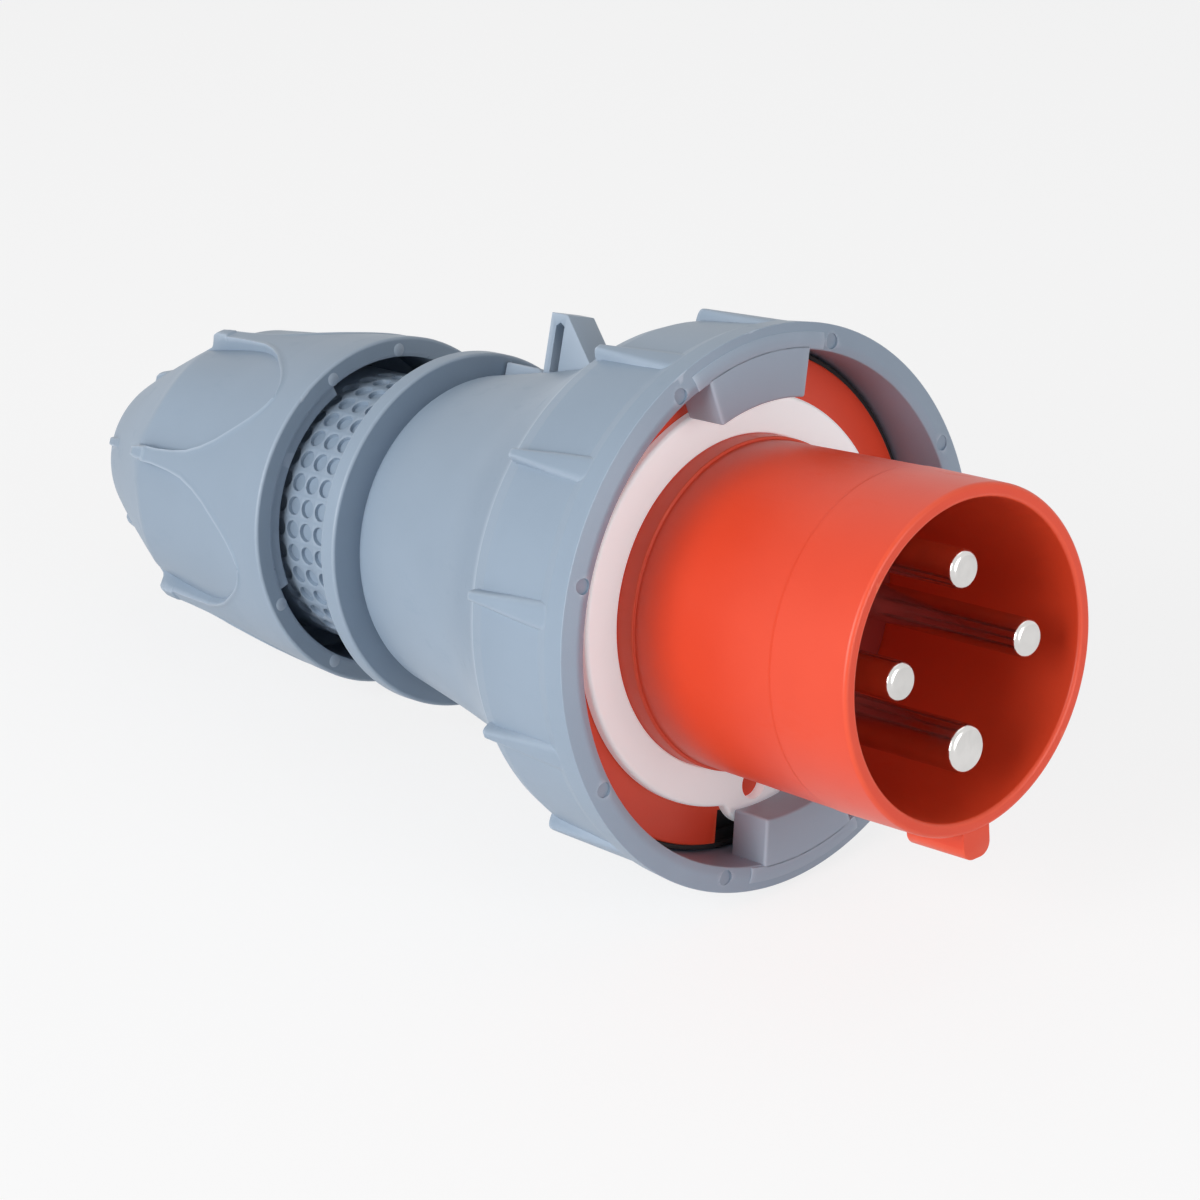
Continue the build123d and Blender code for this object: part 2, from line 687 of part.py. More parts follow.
def gland_nut():
    """The long nut: round rim, six leaf-shaped grips with ridges between them, domed nose."""
    mouth_end_x = nut_rim_x - nut_mouth_depth
    lip_front_x = nut_rim_x - nut_lip_setback
    lip_rear_x = lip_front_x - nut_lip_length
    hole_x = nut_end_x + nut_cable_hole_length
    blank = turned([
        (nut_rim_x, nut_mouth_r), (nut_rim_x, nut_rim_r),
        (nut_rim_x - nut_band_length, nut_rim_r - nut_band_drop),
        (nut_rim_x - nut_cheek_length, nut_rim_r - nut_cheek_drop),
        (nut_rim_x - nut_waist_length, nut_rim_r - nut_waist_drop), (nut_brow_x, nut_brow_r),
        *[(nut_brow_x - back, nut_brow_r - drop) for back, drop in nose_steps],
        (nut_end_x, nut_end_r), (nut_end_x, nut_cable_hole_r),
        (hole_x, nut_cable_hole_r), (nut_shoulder_x, nut_cavity_r), (nut_shoulder_x, nut_thread_r),
        (mouth_end_x - nut_mouth_cone, nut_thread_r), (mouth_end_x, nut_mouth_r),
        (lip_rear_x, nut_mouth_r), (lip_rear_x, nut_lip_r), (lip_front_x, nut_lip_r),
        (lip_front_x, nut_mouth_r),
    ])
    rim = blank.edges().filter_by(GeomType.CIRCLE).group_by(Axis.X)[-1]
    blank = fillet(rim, nut_rim_round)
    cutter = leaf_cutter()
    ridge_section = [(ridge_top[0][0], ridge_root_r), *ridge_top, (ridge_top[-1][0], ridge_root_r)]
    nib_section = [(nut_end_x + along, nut_cable_hole_r + out) for along, out in nib_steps]
    for n in range(leaf_count):
        clock = leaf_first_clock + 360.0 / leaf_count * n
        between = clock + 180.0 / leaf_count
        blank -= at_clock(cutter, clock)
        blank += sector(ridge_section, ridge_arc, between) + sector(nib_section, nib_arc, between)
    return blank


def build_pieces():
    """All pieces about the plug's own axis, by node name."""
    pieces = {"sleeve_body": sleeve_body(), "contact_carrier": contact_carrier()}
    for n, (name, clock, radius) in enumerate(contact_places()):
        pieces[name] = contact_pin(radius, clock)
        pieces[f"terminal_screw_{n + 1}"] = terminal_screw(radius, clock)
    for n, clock in enumerate(carrier_screw_clocks()):
        screw = fixing_screw(carrier_flange_back_x, carrier_flange_thickness)
        pieces[f"carrier_screw_{n + 1}"] = at_clock(Pos(0, 0, carrier_screw_circle_r) * screw, clock)
    for n, clock in enumerate(insert_screw_clocks):
        screw = fixing_screw(base_back_x - ledge_thickness, ledge_thickness)
        pieces[f"insert_screw_{n + 1}"] = at_clock(Pos(0, 0, insert_screw_circle_r) * screw, clock)
    pieces["face_gasket"] = face_gasket()
    pieces["base_seal"] = base_seal()
    pieces["bayonet_ring"] = bayonet_ring()
    pieces["front_housing"] = front_housing()
    pieces["gland_body"] = gland_body()
    pieces["body_o_ring"] = body_o_ring()
    pieces["gland_seal"] = gland_seal()
    pieces["clamp_cage"] = clamp_cage()
    pieces["thrust_ring"] = thrust_ring()
    pieces["gland_nut"] = gland_nut()
    return pieces


def resting_place(pieces):
    """Roll the ring's ribs level, tip the nose up and stand the lot on z = 0 about its middle."""
    laid = Rot(Y=-nose_up) * Rot(X=ring_turned_clock)
    box = Compound([laid * piece for piece in pieces.values()]).bounding_box()
    middle = box.center()
    return Pos(-middle.X, -middle.Y, -box.min.Z) * laid


pieces = build_pieces()
place = resting_place(pieces)
os.makedirs("parts", exist_ok=True)
for name, piece in pieces.items():
    export_step(place * piece, f"parts/{name}.step")
print("nodes", len(pieces), "nose up", round(nose_up, 2))
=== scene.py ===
import json
import math
import bmesh
import bpy
import numpy as np
from mathutils import Matrix, Vector


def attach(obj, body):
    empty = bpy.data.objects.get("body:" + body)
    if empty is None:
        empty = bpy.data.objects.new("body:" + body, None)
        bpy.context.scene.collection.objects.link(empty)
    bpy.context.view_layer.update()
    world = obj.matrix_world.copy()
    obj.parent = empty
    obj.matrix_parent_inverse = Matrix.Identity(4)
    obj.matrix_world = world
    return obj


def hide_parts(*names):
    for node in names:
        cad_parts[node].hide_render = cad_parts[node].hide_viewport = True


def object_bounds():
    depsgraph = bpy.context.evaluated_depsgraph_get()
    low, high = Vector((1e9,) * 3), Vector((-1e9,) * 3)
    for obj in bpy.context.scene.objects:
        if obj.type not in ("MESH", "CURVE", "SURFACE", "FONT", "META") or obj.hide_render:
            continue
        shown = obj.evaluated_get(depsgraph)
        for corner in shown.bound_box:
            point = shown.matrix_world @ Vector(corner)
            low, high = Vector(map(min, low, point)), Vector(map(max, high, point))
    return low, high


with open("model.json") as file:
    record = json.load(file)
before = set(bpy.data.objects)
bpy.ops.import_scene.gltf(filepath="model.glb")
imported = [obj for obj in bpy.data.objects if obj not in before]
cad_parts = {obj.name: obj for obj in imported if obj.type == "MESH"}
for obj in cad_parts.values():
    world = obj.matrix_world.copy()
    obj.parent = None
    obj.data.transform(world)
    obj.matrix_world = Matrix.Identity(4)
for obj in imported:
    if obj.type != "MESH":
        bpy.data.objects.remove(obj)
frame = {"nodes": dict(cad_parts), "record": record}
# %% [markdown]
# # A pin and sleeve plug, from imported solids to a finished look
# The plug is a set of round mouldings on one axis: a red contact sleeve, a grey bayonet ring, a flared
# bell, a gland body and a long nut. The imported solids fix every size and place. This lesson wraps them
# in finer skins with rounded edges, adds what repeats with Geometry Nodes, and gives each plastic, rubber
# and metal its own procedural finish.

cad_low, cad_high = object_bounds()
nodes = frame["nodes"]
print("packed nodes:", len(nodes), "box", [round(v, 4) for v in cad_high - cad_low])

# %% [markdown]
# ## The plug's own frame
# The plug lies tilted, because it rests on two ribs of its ring and on a ridge of its nut. Turned parts
# are far easier to draw about their own axis, so every shape here is made in the plug's frame, in
# millimetres: x runs along the axis, 0 is the plane of the sleeve's mouth, and a clock angle says how
# far round a thing is, clockwise from the top as seen from the mouth. One matrix, read from the mating
# mount, then carries a finished shape to its real place in metres.

# %% The matrix from the plug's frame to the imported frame
MM = 0.001
mounts = {m["name"]: m for m in frame["record"]["mounts"]}
mouth = Vector(mounts["mating_sleeve"]["pos_m"])
along = Vector(mounts["mating_sleeve"]["axis"]).normalized()
sideways = Vector((0, 1, 0))
upwards = along.cross(sideways)
plug_turn = Matrix((along, sideways, upwards)).transposed().to_4x4()
plug_place = Matrix.Translation(mouth) @ plug_turn
to_row = plug_place @ Matrix.Scale(MM, 4)
to_plug = to_row.inverted()


def clock_of(point):
    """The clock angle, in degrees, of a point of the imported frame."""
    p = to_plug @ Vector(point)
    return math.degrees(math.atan2(p.y, p.z))


housing_clock = clock_of(mounts["phase_pin_1_contact"]["pos_m"])
print("nose up", round(math.degrees(math.asin(along.z)), 2), "housing turned", round(housing_clock, 2))

# %% [markdown]
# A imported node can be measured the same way. `extent` gives how far forward, how far back and how far
# out from the axis it reaches, so a skin can be drawn to the solid that it stands for.


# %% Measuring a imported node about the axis
def extent(name):
    """Front x, rear x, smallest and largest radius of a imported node, in millimetres."""
    co = np.array([tuple(to_plug @ v.co) for v in nodes[name].data.vertices])
    radius = np.hypot(co[:, 1], co[:, 2])
    return co[:, 0].max(), co[:, 0].min(), radius.min(), radius.max()


for node in ("sleeve_body", "bayonet_ring", "front_housing", "gland_body", "gland_nut"):
    print(node, [round(float(v), 2) for v in extent(node)])

# %% [markdown]
# ## Turning a section
# A moulded part never has a razor edge: each corner is rounded by a few tenths of a millimetre, and that
# rounding is what catches the light as a thin bright line. `rounded` takes the corners of a section with
# a radius for each, and puts an arc in each corner. Long straights get extra points, one of them close to
# each end, so that the arc's shading doesn't run out over the flat. `lathe` turns the section about the
# axis. A `shape` function may push the surface in or out as it goes round, which is how the nut gets its
# grips, and a `gather` function may slide the columns sideways, so that they run along a border instead
# of across it.


# %% Sections and the lathe
def rounded(corners, step=2.0, arc_points=5):
    """A closed section with its corners rounded: corners are (x, radius from axis, corner radius)."""
    long_gap, guard = 0.8, 0.25
    count = len(corners)
    points = []
    for i, (x, r, bend) in enumerate(corners):
        here = Vector((x, r))
        before = Vector(corners[i - 1][:2])
        after = Vector(corners[(i + 1) % count][:2])
        to_before, to_after = before - here, after - here
        if bend <= 0:
            points.append(here)
            continue
        half = to_before.angle(to_after) / 2
        cut = min(bend / math.tan(half), 0.49 * to_before.length, 0.49 * to_after.length)
        bend = cut * math.tan(half)
        inwards = (to_before.normalized() + to_after.normalized()).normalized()
        middle = here + inwards * (bend / math.sin(half))
        start, end = here + to_before.normalized() * cut, here + to_after.normalized() * cut
        for k in range(arc_points + 1):
            ray = (start - middle).lerp(end - middle, k / arc_points).normalized()
            points.append(middle + ray * bend)
    dense = []
    for i, point in enumerate(points):
        after = points[(i + 1) % len(points)]
        gap = (after - point).length
        dense.append(point)
        if gap > long_gap:
            inner = max(1, round(gap / step))
            shares = [guard / gap] + [k / inner for k in range(1, inner)] + [1 - guard / gap]
            dense += [point.lerp(after, s) for s in shares]
    return np.array([tuple(p) for p in dense])


def lathe(section, columns=192, shape=None, arc=None, gather=None):
    """Vertices and faces of a turned section; arc is (first, last) clock for a part turn."""
    if arc:
        clocks = np.radians(np.linspace(arc[0], arc[1], columns + 1))
    else:
        clocks = np.radians(np.arange(columns) * 360.0 / columns)
    x, clock = np.meshgrid(section[:, 0], clocks, indexing="ij")
    r = np.meshgrid(section[:, 1], clocks, indexing="ij")[0]
    if gather:
        clock = np.radians(gather(x, np.degrees(clock)))
    if shape:
        r = shape(x, r, np.degrees(clock))
    verts = np.stack([x, r * np.sin(clock), r * np.cos(clock)], axis=-1).reshape(-1, 3)
    rows, cols = x.shape
    faces = []
    last = cols - 1 if arc else cols
    for i in range(rows):
        low, high = i * cols, ((i + 1) % rows) * cols
        for j in range(last):
            k = (j + 1) % cols
            faces.append((low + j, high + j, high + k, low + k))
    if arc:
        faces.append(tuple(i * cols for i in range(rows)))
        faces.append(tuple(i * cols + cols - 1 for i in reversed(range(rows))))
    return verts, faces


# %% [markdown]
# ## From a list of points to a piece
# `mesh_piece` makes the object, `settle` carries it from the plug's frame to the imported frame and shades
# it smooth with its hard edges kept, and `finish_piece` says which body it moves with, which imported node
# it stands for and which finish it has. What isn't turned all the way round is a `slab` between two
# outlines or an `arc_block`, a section turned from one clock angle to another.


# %% Making, settling and declaring pieces
def mesh_piece(name, verts, faces):
    mesh = bpy.data.meshes.new(name)
    mesh.from_pydata([tuple(v) for v in verts], [], faces)
    piece = bpy.data.objects.new(name, mesh)
    bpy.context.scene.collection.objects.link(piece)
    return piece


def tidy_normals(piece):
    work = bmesh.new()
    work.from_mesh(piece.data)
    bmesh.ops.remove_doubles(work, verts=work.verts, dist=1e-5)
    bmesh.ops.recalc_face_normals(work, faces=work.faces)
    work.to_mesh(piece.data)
    work.free()


def settle(piece, hard_angle=35.0):
    """Carry a piece from the plug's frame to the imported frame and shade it."""
    tidy_normals(piece)
    piece.data.transform(to_row)
    piece.data.shade_smooth()
    piece.data.set_sharp_from_angle(angle=math.radians(hard_angle))
    return piece


def finish_piece(piece, body, material, slot, *stands_for):
    """Give a piece its finish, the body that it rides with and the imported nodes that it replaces."""
    piece.data.materials.clear()
    piece.data.materials.append(material)
    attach(piece, body)
    if stands_for:
        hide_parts(*stands_for)
    print(piece.name, "faces", len(piece.data.polygons))
    return piece


def apply_modifiers(piece):
    """Turn the piece's evaluated shape into its own plain mesh and drop the modifiers."""
    bpy.context.view_layer.update()
    result = bpy.data.meshes.new_from_object(piece.evaluated_get(bpy.context.evaluated_depsgraph_get()))
    piece.modifiers.clear()
    piece.data = result
    return piece


def join_pieces(target, *others):
    """Add the meshes of the others to the target and remove them."""
    work = bmesh.new()
    for part in (target, *others):
        work.from_mesh(part.data)
    work.to_mesh(target.data)
    work.free()
    for part in others:
        bpy.data.objects.remove(part)
    return target


def carve(target, cutter, operation="DIFFERENCE"):
    """Cut one closed piece out of another, or weld them, and remove the cutter."""
    tidy_normals(target)
    tidy_normals(cutter)
    knife = target.modifiers.new("carve", "BOOLEAN")
    knife.operation = operation
    knife.solver = "EXACT"
    knife.object = cutter
    apply_modifiers(target)
    bpy.data.objects.remove(cutter)
    return target


def soften(piece, bend, segments=3, angle=30.0):
    """Round every edge that is sharper than the angle."""
    edge = piece.modifiers.new("soften", "BEVEL")
    edge.width = bend
    edge.segments = segments
    edge.limit_method = "ANGLE"
    edge.angle_limit = math.radians(angle)
    return apply_modifiers(piece)


def turn_to(piece, clock):
    """Carry a piece drawn at the top round to a clock angle."""
    piece.data.transform(Matrix.Rotation(-math.radians(clock), 4, "X"))
    return piece


def slab(name, near, far):
    """A closed block between two outlines that have the same number of points."""
    count = len(near)
    faces = [tuple(range(count)), tuple(reversed(range(count, 2 * count)))]
    faces += [(k, k + count, (k + 1) % count + count, (k + 1) % count) for k in range(count)]
    block = mesh_piece(name, near + far, faces)
    tidy_normals(block)
    return block


def arc_block(name, corners, first, last, bend=0.0, segments=3, columns=24):
    """A section turned from one clock angle to another, with its edges rounded if a bend is given."""
    block = mesh_piece(name, *lathe(np.array(corners), columns=columns, arc=(first, last)))
    tidy_normals(block)
    return soften(block, bend, segments) if bend else block


# %% [markdown]
# ## One tree for everything that repeats round the axis
# The ring's ribs, its ejector marks and the tiles of the dimpled neck all repeat round the same axis, the
# tiles in several rows. Copying them by hand would bury the rule, so one Geometry Nodes tree holds it:
# make the points, give each its row and its angle, put a copy of the incoming mesh on each, then
# realize the copies and set the material.


# %% The Geometry Nodes tree for rows round the axis
def feed(tree, socket, value):
    """Give a socket its value: a link from another node's output, or else the plain number or colour."""
    if hasattr(value, "is_output"):
        tree.links.new(value, socket)
    else:
        socket.default_value = value


def build_rows_tree():
    tree = bpy.data.node_groups.new("rows round the axis", "GeometryNodeTree")
    face = tree.interface
    face.new_socket("Geometry", in_out="INPUT", socket_type="NodeSocketGeometry")
    for label, kind, value in (("Count", "NodeSocketInt", 12), ("Rows", "NodeSocketInt", 1),
                               ("Row Pitch", "NodeSocketFloat", 0.0),
                               ("First Clock", "NodeSocketFloat", 0.0)):
        face.new_socket(label, in_out="INPUT", socket_type=kind).default_value = value
    face.new_socket("Material", in_out="INPUT", socket_type="NodeSocketMaterial")
    face.new_socket("Geometry", in_out="OUTPUT", socket_type="NodeSocketGeometry")
    make, link = tree.nodes.new, tree.links.new
    given, result = make("NodeGroupInput"), make("NodeGroupOutput")

    def maths(kind, *values):
        node = make("ShaderNodeMath")
        node.operation = kind
        for socket, value in zip(node.inputs, values):
            feed(tree, socket, value)
        return node.outputs[0]

    index = make("GeometryNodeInputIndex").outputs[0]
    count = given.outputs["Count"]
    total = maths("MULTIPLY", count, given.outputs["Rows"])
    row = maths("FLOOR", maths("DIVIDE", index, count))
    column = maths("MODULO", index, count)
    clock = maths("DIVIDE", maths("MULTIPLY", column, 360.0), count)
    clock = maths("ADD", clock, given.outputs["First Clock"])
    angle = maths("MULTIPLY", clock, -math.pi / 180)
    shift = maths("MULTIPLY", maths("MULTIPLY", row, given.outputs["Row Pitch"]), -1.0)
    points, copies = make("GeometryNodePoints"), make("GeometryNodeInstanceOnPoints")
    spot, spin = make("ShaderNodeCombineXYZ"), make("ShaderNodeCombineXYZ")
    turn = make("FunctionNodeEulerToRotation")
    real, coat = make("GeometryNodeRealizeInstances"), make("GeometryNodeSetMaterial")
    link(total, points.inputs["Count"])
    link(shift, spot.inputs[0])
    link(spot.outputs[0], points.inputs["Position"])
    link(angle, spin.inputs[0])
    link(spin.outputs[0], turn.inputs[0])
    link(points.outputs[0], copies.inputs["Points"])
    link(given.outputs["Geometry"], copies.inputs["Instance"])
    link(turn.outputs[0], copies.inputs["Rotation"])
    link(copies.outputs[0], real.inputs[0])
    link(real.outputs[0], coat.inputs["Geometry"])
    link(given.outputs["Material"], coat.inputs["Material"])
    link(coat.outputs[0], result.inputs[0])
    return tree


rows_tree = build_rows_tree()


def repeat_round(piece, material, **settings):
    """Run the rows tree on a piece, with its inputs set by name, and keep the plain result."""
    rows = piece.modifiers.new("rows", "NODES")
    rows.node_group = rows_tree
    sockets = {s.name: s.identifier for s in rows_tree.interface.items_tree if s.in_out == "INPUT"}
    for label, value in settings.items():
        rows[sockets[label.replace("_", " ")]] = value
    rows[sockets["Material"]] = material
    return apply_modifiers(piece)


print("rows tree nodes:", len(rows_tree.nodes))

# %% [markdown]
# ## Finishes
# All of the plug's plastics share one look at close range: a very fine spark-eroded grain, a slow drift
# of tone where the melt cooled, and faint scuffs. That is one node group, used with its own values in
# each plastic. A second group finds outer edges, where a paler colour is painted on as a highlight.


# %% The shared groups: moulded surface and painted edge highlight
def new_group(name, inputs, outputs):
    """An empty shader group with its sockets, and its two end nodes."""
    group = bpy.data.node_groups.new(name, "ShaderNodeTree")
    for label, value in inputs:
        group.interface.new_socket(label, in_out="INPUT", socket_type="NodeSocketFloat").default_value = value
    for label in outputs:
        group.interface.new_socket(label, in_out="OUTPUT", socket_type="NodeSocketFloat")
    return group, group.nodes.new("NodeGroupInput"), group.nodes.new("NodeGroupOutput")


def noise(group, coords, scale, detail, roughness=0.5):
    """A cloudy pattern between 0 and 1."""
    node = group.nodes.new("ShaderNodeTexNoise")
    node.inputs["Detail"].default_value = detail
    node.inputs["Roughness"].default_value = roughness
    feed(group, node.inputs["Scale"], scale)
    group.links.new(coords, node.inputs["Vector"])
    return node.outputs["Fac"]


def spread(group, value, low, high, to_low=0.0, to_high=1.0):
    """Map low to high onto to_low to to_high, and hold what lies beyond at the ends."""
    node = group.nodes.new("ShaderNodeMapRange")
    for label, number in (("From Min", low), ("From Max", high), ("To Min", to_low), ("To Max", to_high)):
        node.inputs[label].default_value = number
    group.links.new(value, node.inputs["Value"])
    return node.outputs["Result"]


def build_moulded_surface():
    """Three masks for a moulding: its fine grain, its drift of tone and its lengthwise scuffs."""
    group, given, result = new_group("moulded surface", [("Grain Scale", 1500.0), ("Drift Scale", 28.0)],
                                     ["Grain", "Drift", "Scuff"])
    coords = group.nodes.new("ShaderNodeTexCoord").outputs["Object"]
    grain = noise(group, coords, given.outputs["Grain Scale"], 2.0, 0.6)
    drift = noise(group, coords, given.outputs["Drift Scale"], 3.0)
    stretch = group.nodes.new("ShaderNodeMapping")
    stretch.inputs["Scale"].default_value = (0.35, 1.0, 1.0)
    group.links.new(coords, stretch.inputs["Vector"])
    scuff = spread(group, noise(group, stretch.outputs[0], 210.0, 5.0, 0.7), 0.58, 0.78)
    group.links.new(grain, result.inputs["Grain"])
    group.links.new(spread(group, drift, 0.3, 0.7), result.inputs["Drift"])
    group.links.new(scuff, result.inputs["Scuff"])
    return group


def build_painted_edge_highlight():
    """A mask that is 1 on outer edges, from how pointed the surface is, where a highlight is painted."""
    group, given, result = new_group("painted edge highlight", [("Start", 0.51), ("End", 0.56)], ["Edge"])
    shape = group.nodes.new("ShaderNodeNewGeometry")
    ramp = group.nodes.new("ShaderNodeMapRange")
    group.links.new(shape.outputs["Pointiness"], ramp.inputs["Value"])
    group.links.new(given.outputs["Start"], ramp.inputs["From Min"])
    group.links.new(given.outputs["End"], ramp.inputs["From Max"])
    group.links.new(ramp.outputs["Result"], result.inputs["Edge"])
    return group


moulded_surface = build_moulded_surface()
painted_edge_highlight = build_painted_edge_highlight()

# %% [markdown]
# ## Plastics
# A plastic is a body colour that drifts between two close shades, a paler colour painted on its edges as a
# highlight, a roughness that the scuffs raise, and the grain as bump. The Principled shader stays in the
# material; only masks and values come from the groups. The white silicone seal also gets a faint bluish
# glow of its own: painted light, which keeps it white where it lies in the sleeve's red shade.


# %% Building a plastic
def srgb(red, green, blue):
    """A colour read as 0 to 255, as linear light for a shader."""
    def linear(c):
        c = c / 255
        return c / 12.92 if c <= 0.04045 else ((c + 0.055) / 1.055) ** 2.4
    return (linear(red), linear(green), linear(blue), 1.0)


def mix_colour(tree, mask, first, second):
    """The first colour where the mask is 0, the second where it is 1."""
    node = tree.nodes.new("ShaderNodeMix")
    node.data_type = "RGBA"
    for socket, value in zip([s for s in node.inputs if s.type == "RGBA"], (first, second)):
        feed(tree, socket, value)
    tree.links.new(mask, node.inputs[0])
    return [s for s in node.outputs if s.type == "RGBA"][0]


# The first value is how much of the painted edge highlight is mixed into the body colour.
highlight_share, scuff_rise, grain_strength = 0.5, 0.16, 0.6


def plastic(name, shade, other_shade, highlight_shade, roughness=0.42, grain_depth=0.00003):
    """A moulded plastic or rubber; grain_depth is in metres."""
    material = bpy.data.materials.new(name)
    material.use_nodes = True
    tree = material.node_tree
    shader = tree.nodes["Principled BSDF"]
    surface, edges = tree.nodes.new("ShaderNodeGroup"), tree.nodes.new("ShaderNodeGroup")
    surface.node_tree, edges.node_tree = moulded_surface, painted_edge_highlight
    body = mix_colour(tree, surface.outputs["Drift"], shade, other_shade)
    # Painted highlight: a paler colour mixed in on outer edges.
    highlight_mask = spread(tree, edges.outputs["Edge"], 0.0, 1.0, 0.0, highlight_share)
    tree.links.new(mix_colour(tree, highlight_mask, body, highlight_shade), shader.inputs["Base Color"])
    rough = spread(tree, surface.outputs["Scuff"], 0.0, 1.0, roughness, roughness + scuff_rise)
    tree.links.new(rough, shader.inputs["Roughness"])
    bump = tree.nodes.new("ShaderNodeBump")
    bump.inputs["Distance"].default_value = grain_depth
    bump.inputs["Strength"].default_value = grain_strength
    tree.links.new(surface.outputs["Grain"], bump.inputs["Height"])
    tree.links.new(bump.outputs["Normal"], shader.inputs["Normal"])
    return material


# The third colour of each plastic is the paler colour painted on its edges as a highlight.
grey_plastic = plastic("grey plastic", srgb(137, 154, 172), srgb(143, 160, 178), srgb(190, 202, 216))
red_plastic = plastic("red plastic", srgb(222, 66, 34), srgb(228, 73, 40), srgb(240, 110, 76), 0.4)
insulator = plastic("dark red insulator", srgb(120, 18, 14), srgb(132, 22, 16), srgb(150, 40, 30), 0.5)
inner_plastic = plastic("dark inner plastic", srgb(52, 56, 62), srgb(60, 64, 70), srgb(84, 88, 94), 0.5)
pale_seal = plastic("pale seal rubber", srgb(247, 246, 247), srgb(250, 250, 251), srgb(252, 252, 253),
                    0.55, grain_depth=0.00002)
# Painted glow: a faint bluish white emission on the seal, so it stays white in the sleeve's red shade.
seal_glow_shader = pale_seal.node_tree.nodes["Principled BSDF"]
seal_glow_shader.inputs["Emission Color"].default_value = (0.84, 0.95, 1.0, 1.0)
seal_glow_shader.inputs["Emission Strength"].default_value = 0.19
black_rubber = plastic("black rubber", srgb(24, 24, 25), srgb(30, 30, 32), srgb(52, 52, 54), 0.6)

# %% [markdown]
# ## Metals
# The pins are brass under bright nickel. Turning leaves rings round each pin, far finer than a
# millimetre, so a wave that runs along the pins drives the bump, and a slow noise keeps the plating
# from looking computed. The screws are duller zinc.


# %% Building a turned metal
turning_depth, turning_strength, plating_rise = 0.000008, 0.35, 0.1


def turned_metal(name, shade, roughness, ring_scale):
    """A metal with fine turning rings across its length and a slow cloud in its plating."""
    material = bpy.data.materials.new(name)
    material.use_nodes = True
    tree = material.node_tree
    shader = tree.nodes["Principled BSDF"]
    shader.inputs["Metallic"].default_value = 1.0
    coords = tree.nodes.new("ShaderNodeTexCoord").outputs["Object"]
    rings = tree.nodes.new("ShaderNodeTexWave")
    rings.inputs["Scale"].default_value = ring_scale
    rings.inputs["Distortion"].default_value = 0.4
    tree.links.new(coords, rings.inputs["Vector"])
    cloud = noise(tree, coords, 160.0, 4.0)
    darker = tuple(0.86 * c for c in shade[:3]) + (1.0,)
    tone = mix_colour(tree, spread(tree, cloud, 0.35, 0.7), shade, darker)
    rough = spread(tree, cloud, 0.3, 0.7, roughness, roughness + plating_rise)
    tree.links.new(tone, shader.inputs["Base Color"])
    tree.links.new(rough, shader.inputs["Roughness"])
    bump = tree.nodes.new("ShaderNodeBump")
    bump.inputs["Distance"].default_value = turning_depth
    bump.inputs["Strength"].default_value = turning_strength
    tree.links.new(rings.outputs["Fac"], bump.inputs["Height"])
    tree.links.new(bump.outputs["Normal"], shader.inputs["Normal"])
    return material


plated_pin = turned_metal("plated pin", srgb(222, 220, 218), 0.12, 900.0)
screw_steel = turned_metal("zinc screw", srgb(178, 180, 184), 0.3, 700.0)
print("materials:", len(bpy.data.materials))

# %% [markdown]
# ## The red sleeve
# One moulding: a thin tube with a slightly thicker band at its mouth, a collar at its foot, a round base
# disc with a notch under the bottom lug, and the key that lets it into its socket only one way. The tube
# is turned; the key is a slab with a rounded top welded to it, and the notch is carved.

# %% Turn the sleeve, weld the key, carve the notch
_, sleeve_back, bore_r, base_r = extent("sleeve_body")
mouth_r, collar_r = 35.5, 35.15
band_end, band_slope, band_proud = -20.0, 0.7, 0.12
collar_x, foot_r = -59.3, mouth_r - 1.0
base_x, base_flange_r, flange_thick = -66.0, 52.3, 1.6
flange_rear = base_x - flange_thick
sleeve = mesh_piece("sleeve_skin", *lathe(rounded([
    (0.0, bore_r, 0.9), (0.0, mouth_r, 0.9), (band_end, mouth_r, 0.25),
    (band_end - band_slope, mouth_r - band_proud, 0.25), (collar_x, foot_r, 0.5), (collar_x, collar_r, 0.35),
    (base_x, collar_r, 0.3), (base_x, base_flange_r, 0.4), (flange_rear, base_flange_r, 0.2),
    (flange_rear, base_r, 0.2), (sleeve_back, base_r, 0.3), (sleeve_back, bore_r, 0.3),
]), columns=256))
key_front, key_back = -0.4, -15.8
key_half, key_root, key_top, key_bend = 3.95, 33.3, 41.4, 2.9
key_clock = housing_clock + 178.0
key_face = rounded([(-key_half, key_root, 0), (-key_half, key_top, key_bend), (key_half, key_top, key_bend),
                    (key_half, key_root, 0)], step=20, arc_points=7)
key = slab("key", *[[(x, y, z) for y, z in key_face] for x in (key_front, key_back)])
turn_to(soften(key, 0.5, 3, 60.0), key_clock)
notch_front, notch_back = base_x + 3, sleeve_back - 1
notch_half, notch_in, notch_out = 10.5, 45.0, 54.0
notch = arc_block("notch", [(notch_front, notch_in), (notch_front, notch_out), (notch_back, notch_out),
                            (notch_back, notch_in)], key_clock - notch_half, key_clock + notch_half)
carve(sleeve, notch)
carve(sleeve, key, "UNION")
settle(sleeve)
finish_piece(sleeve, "plug_body", red_plastic, "red_shell", "sleeve_body")
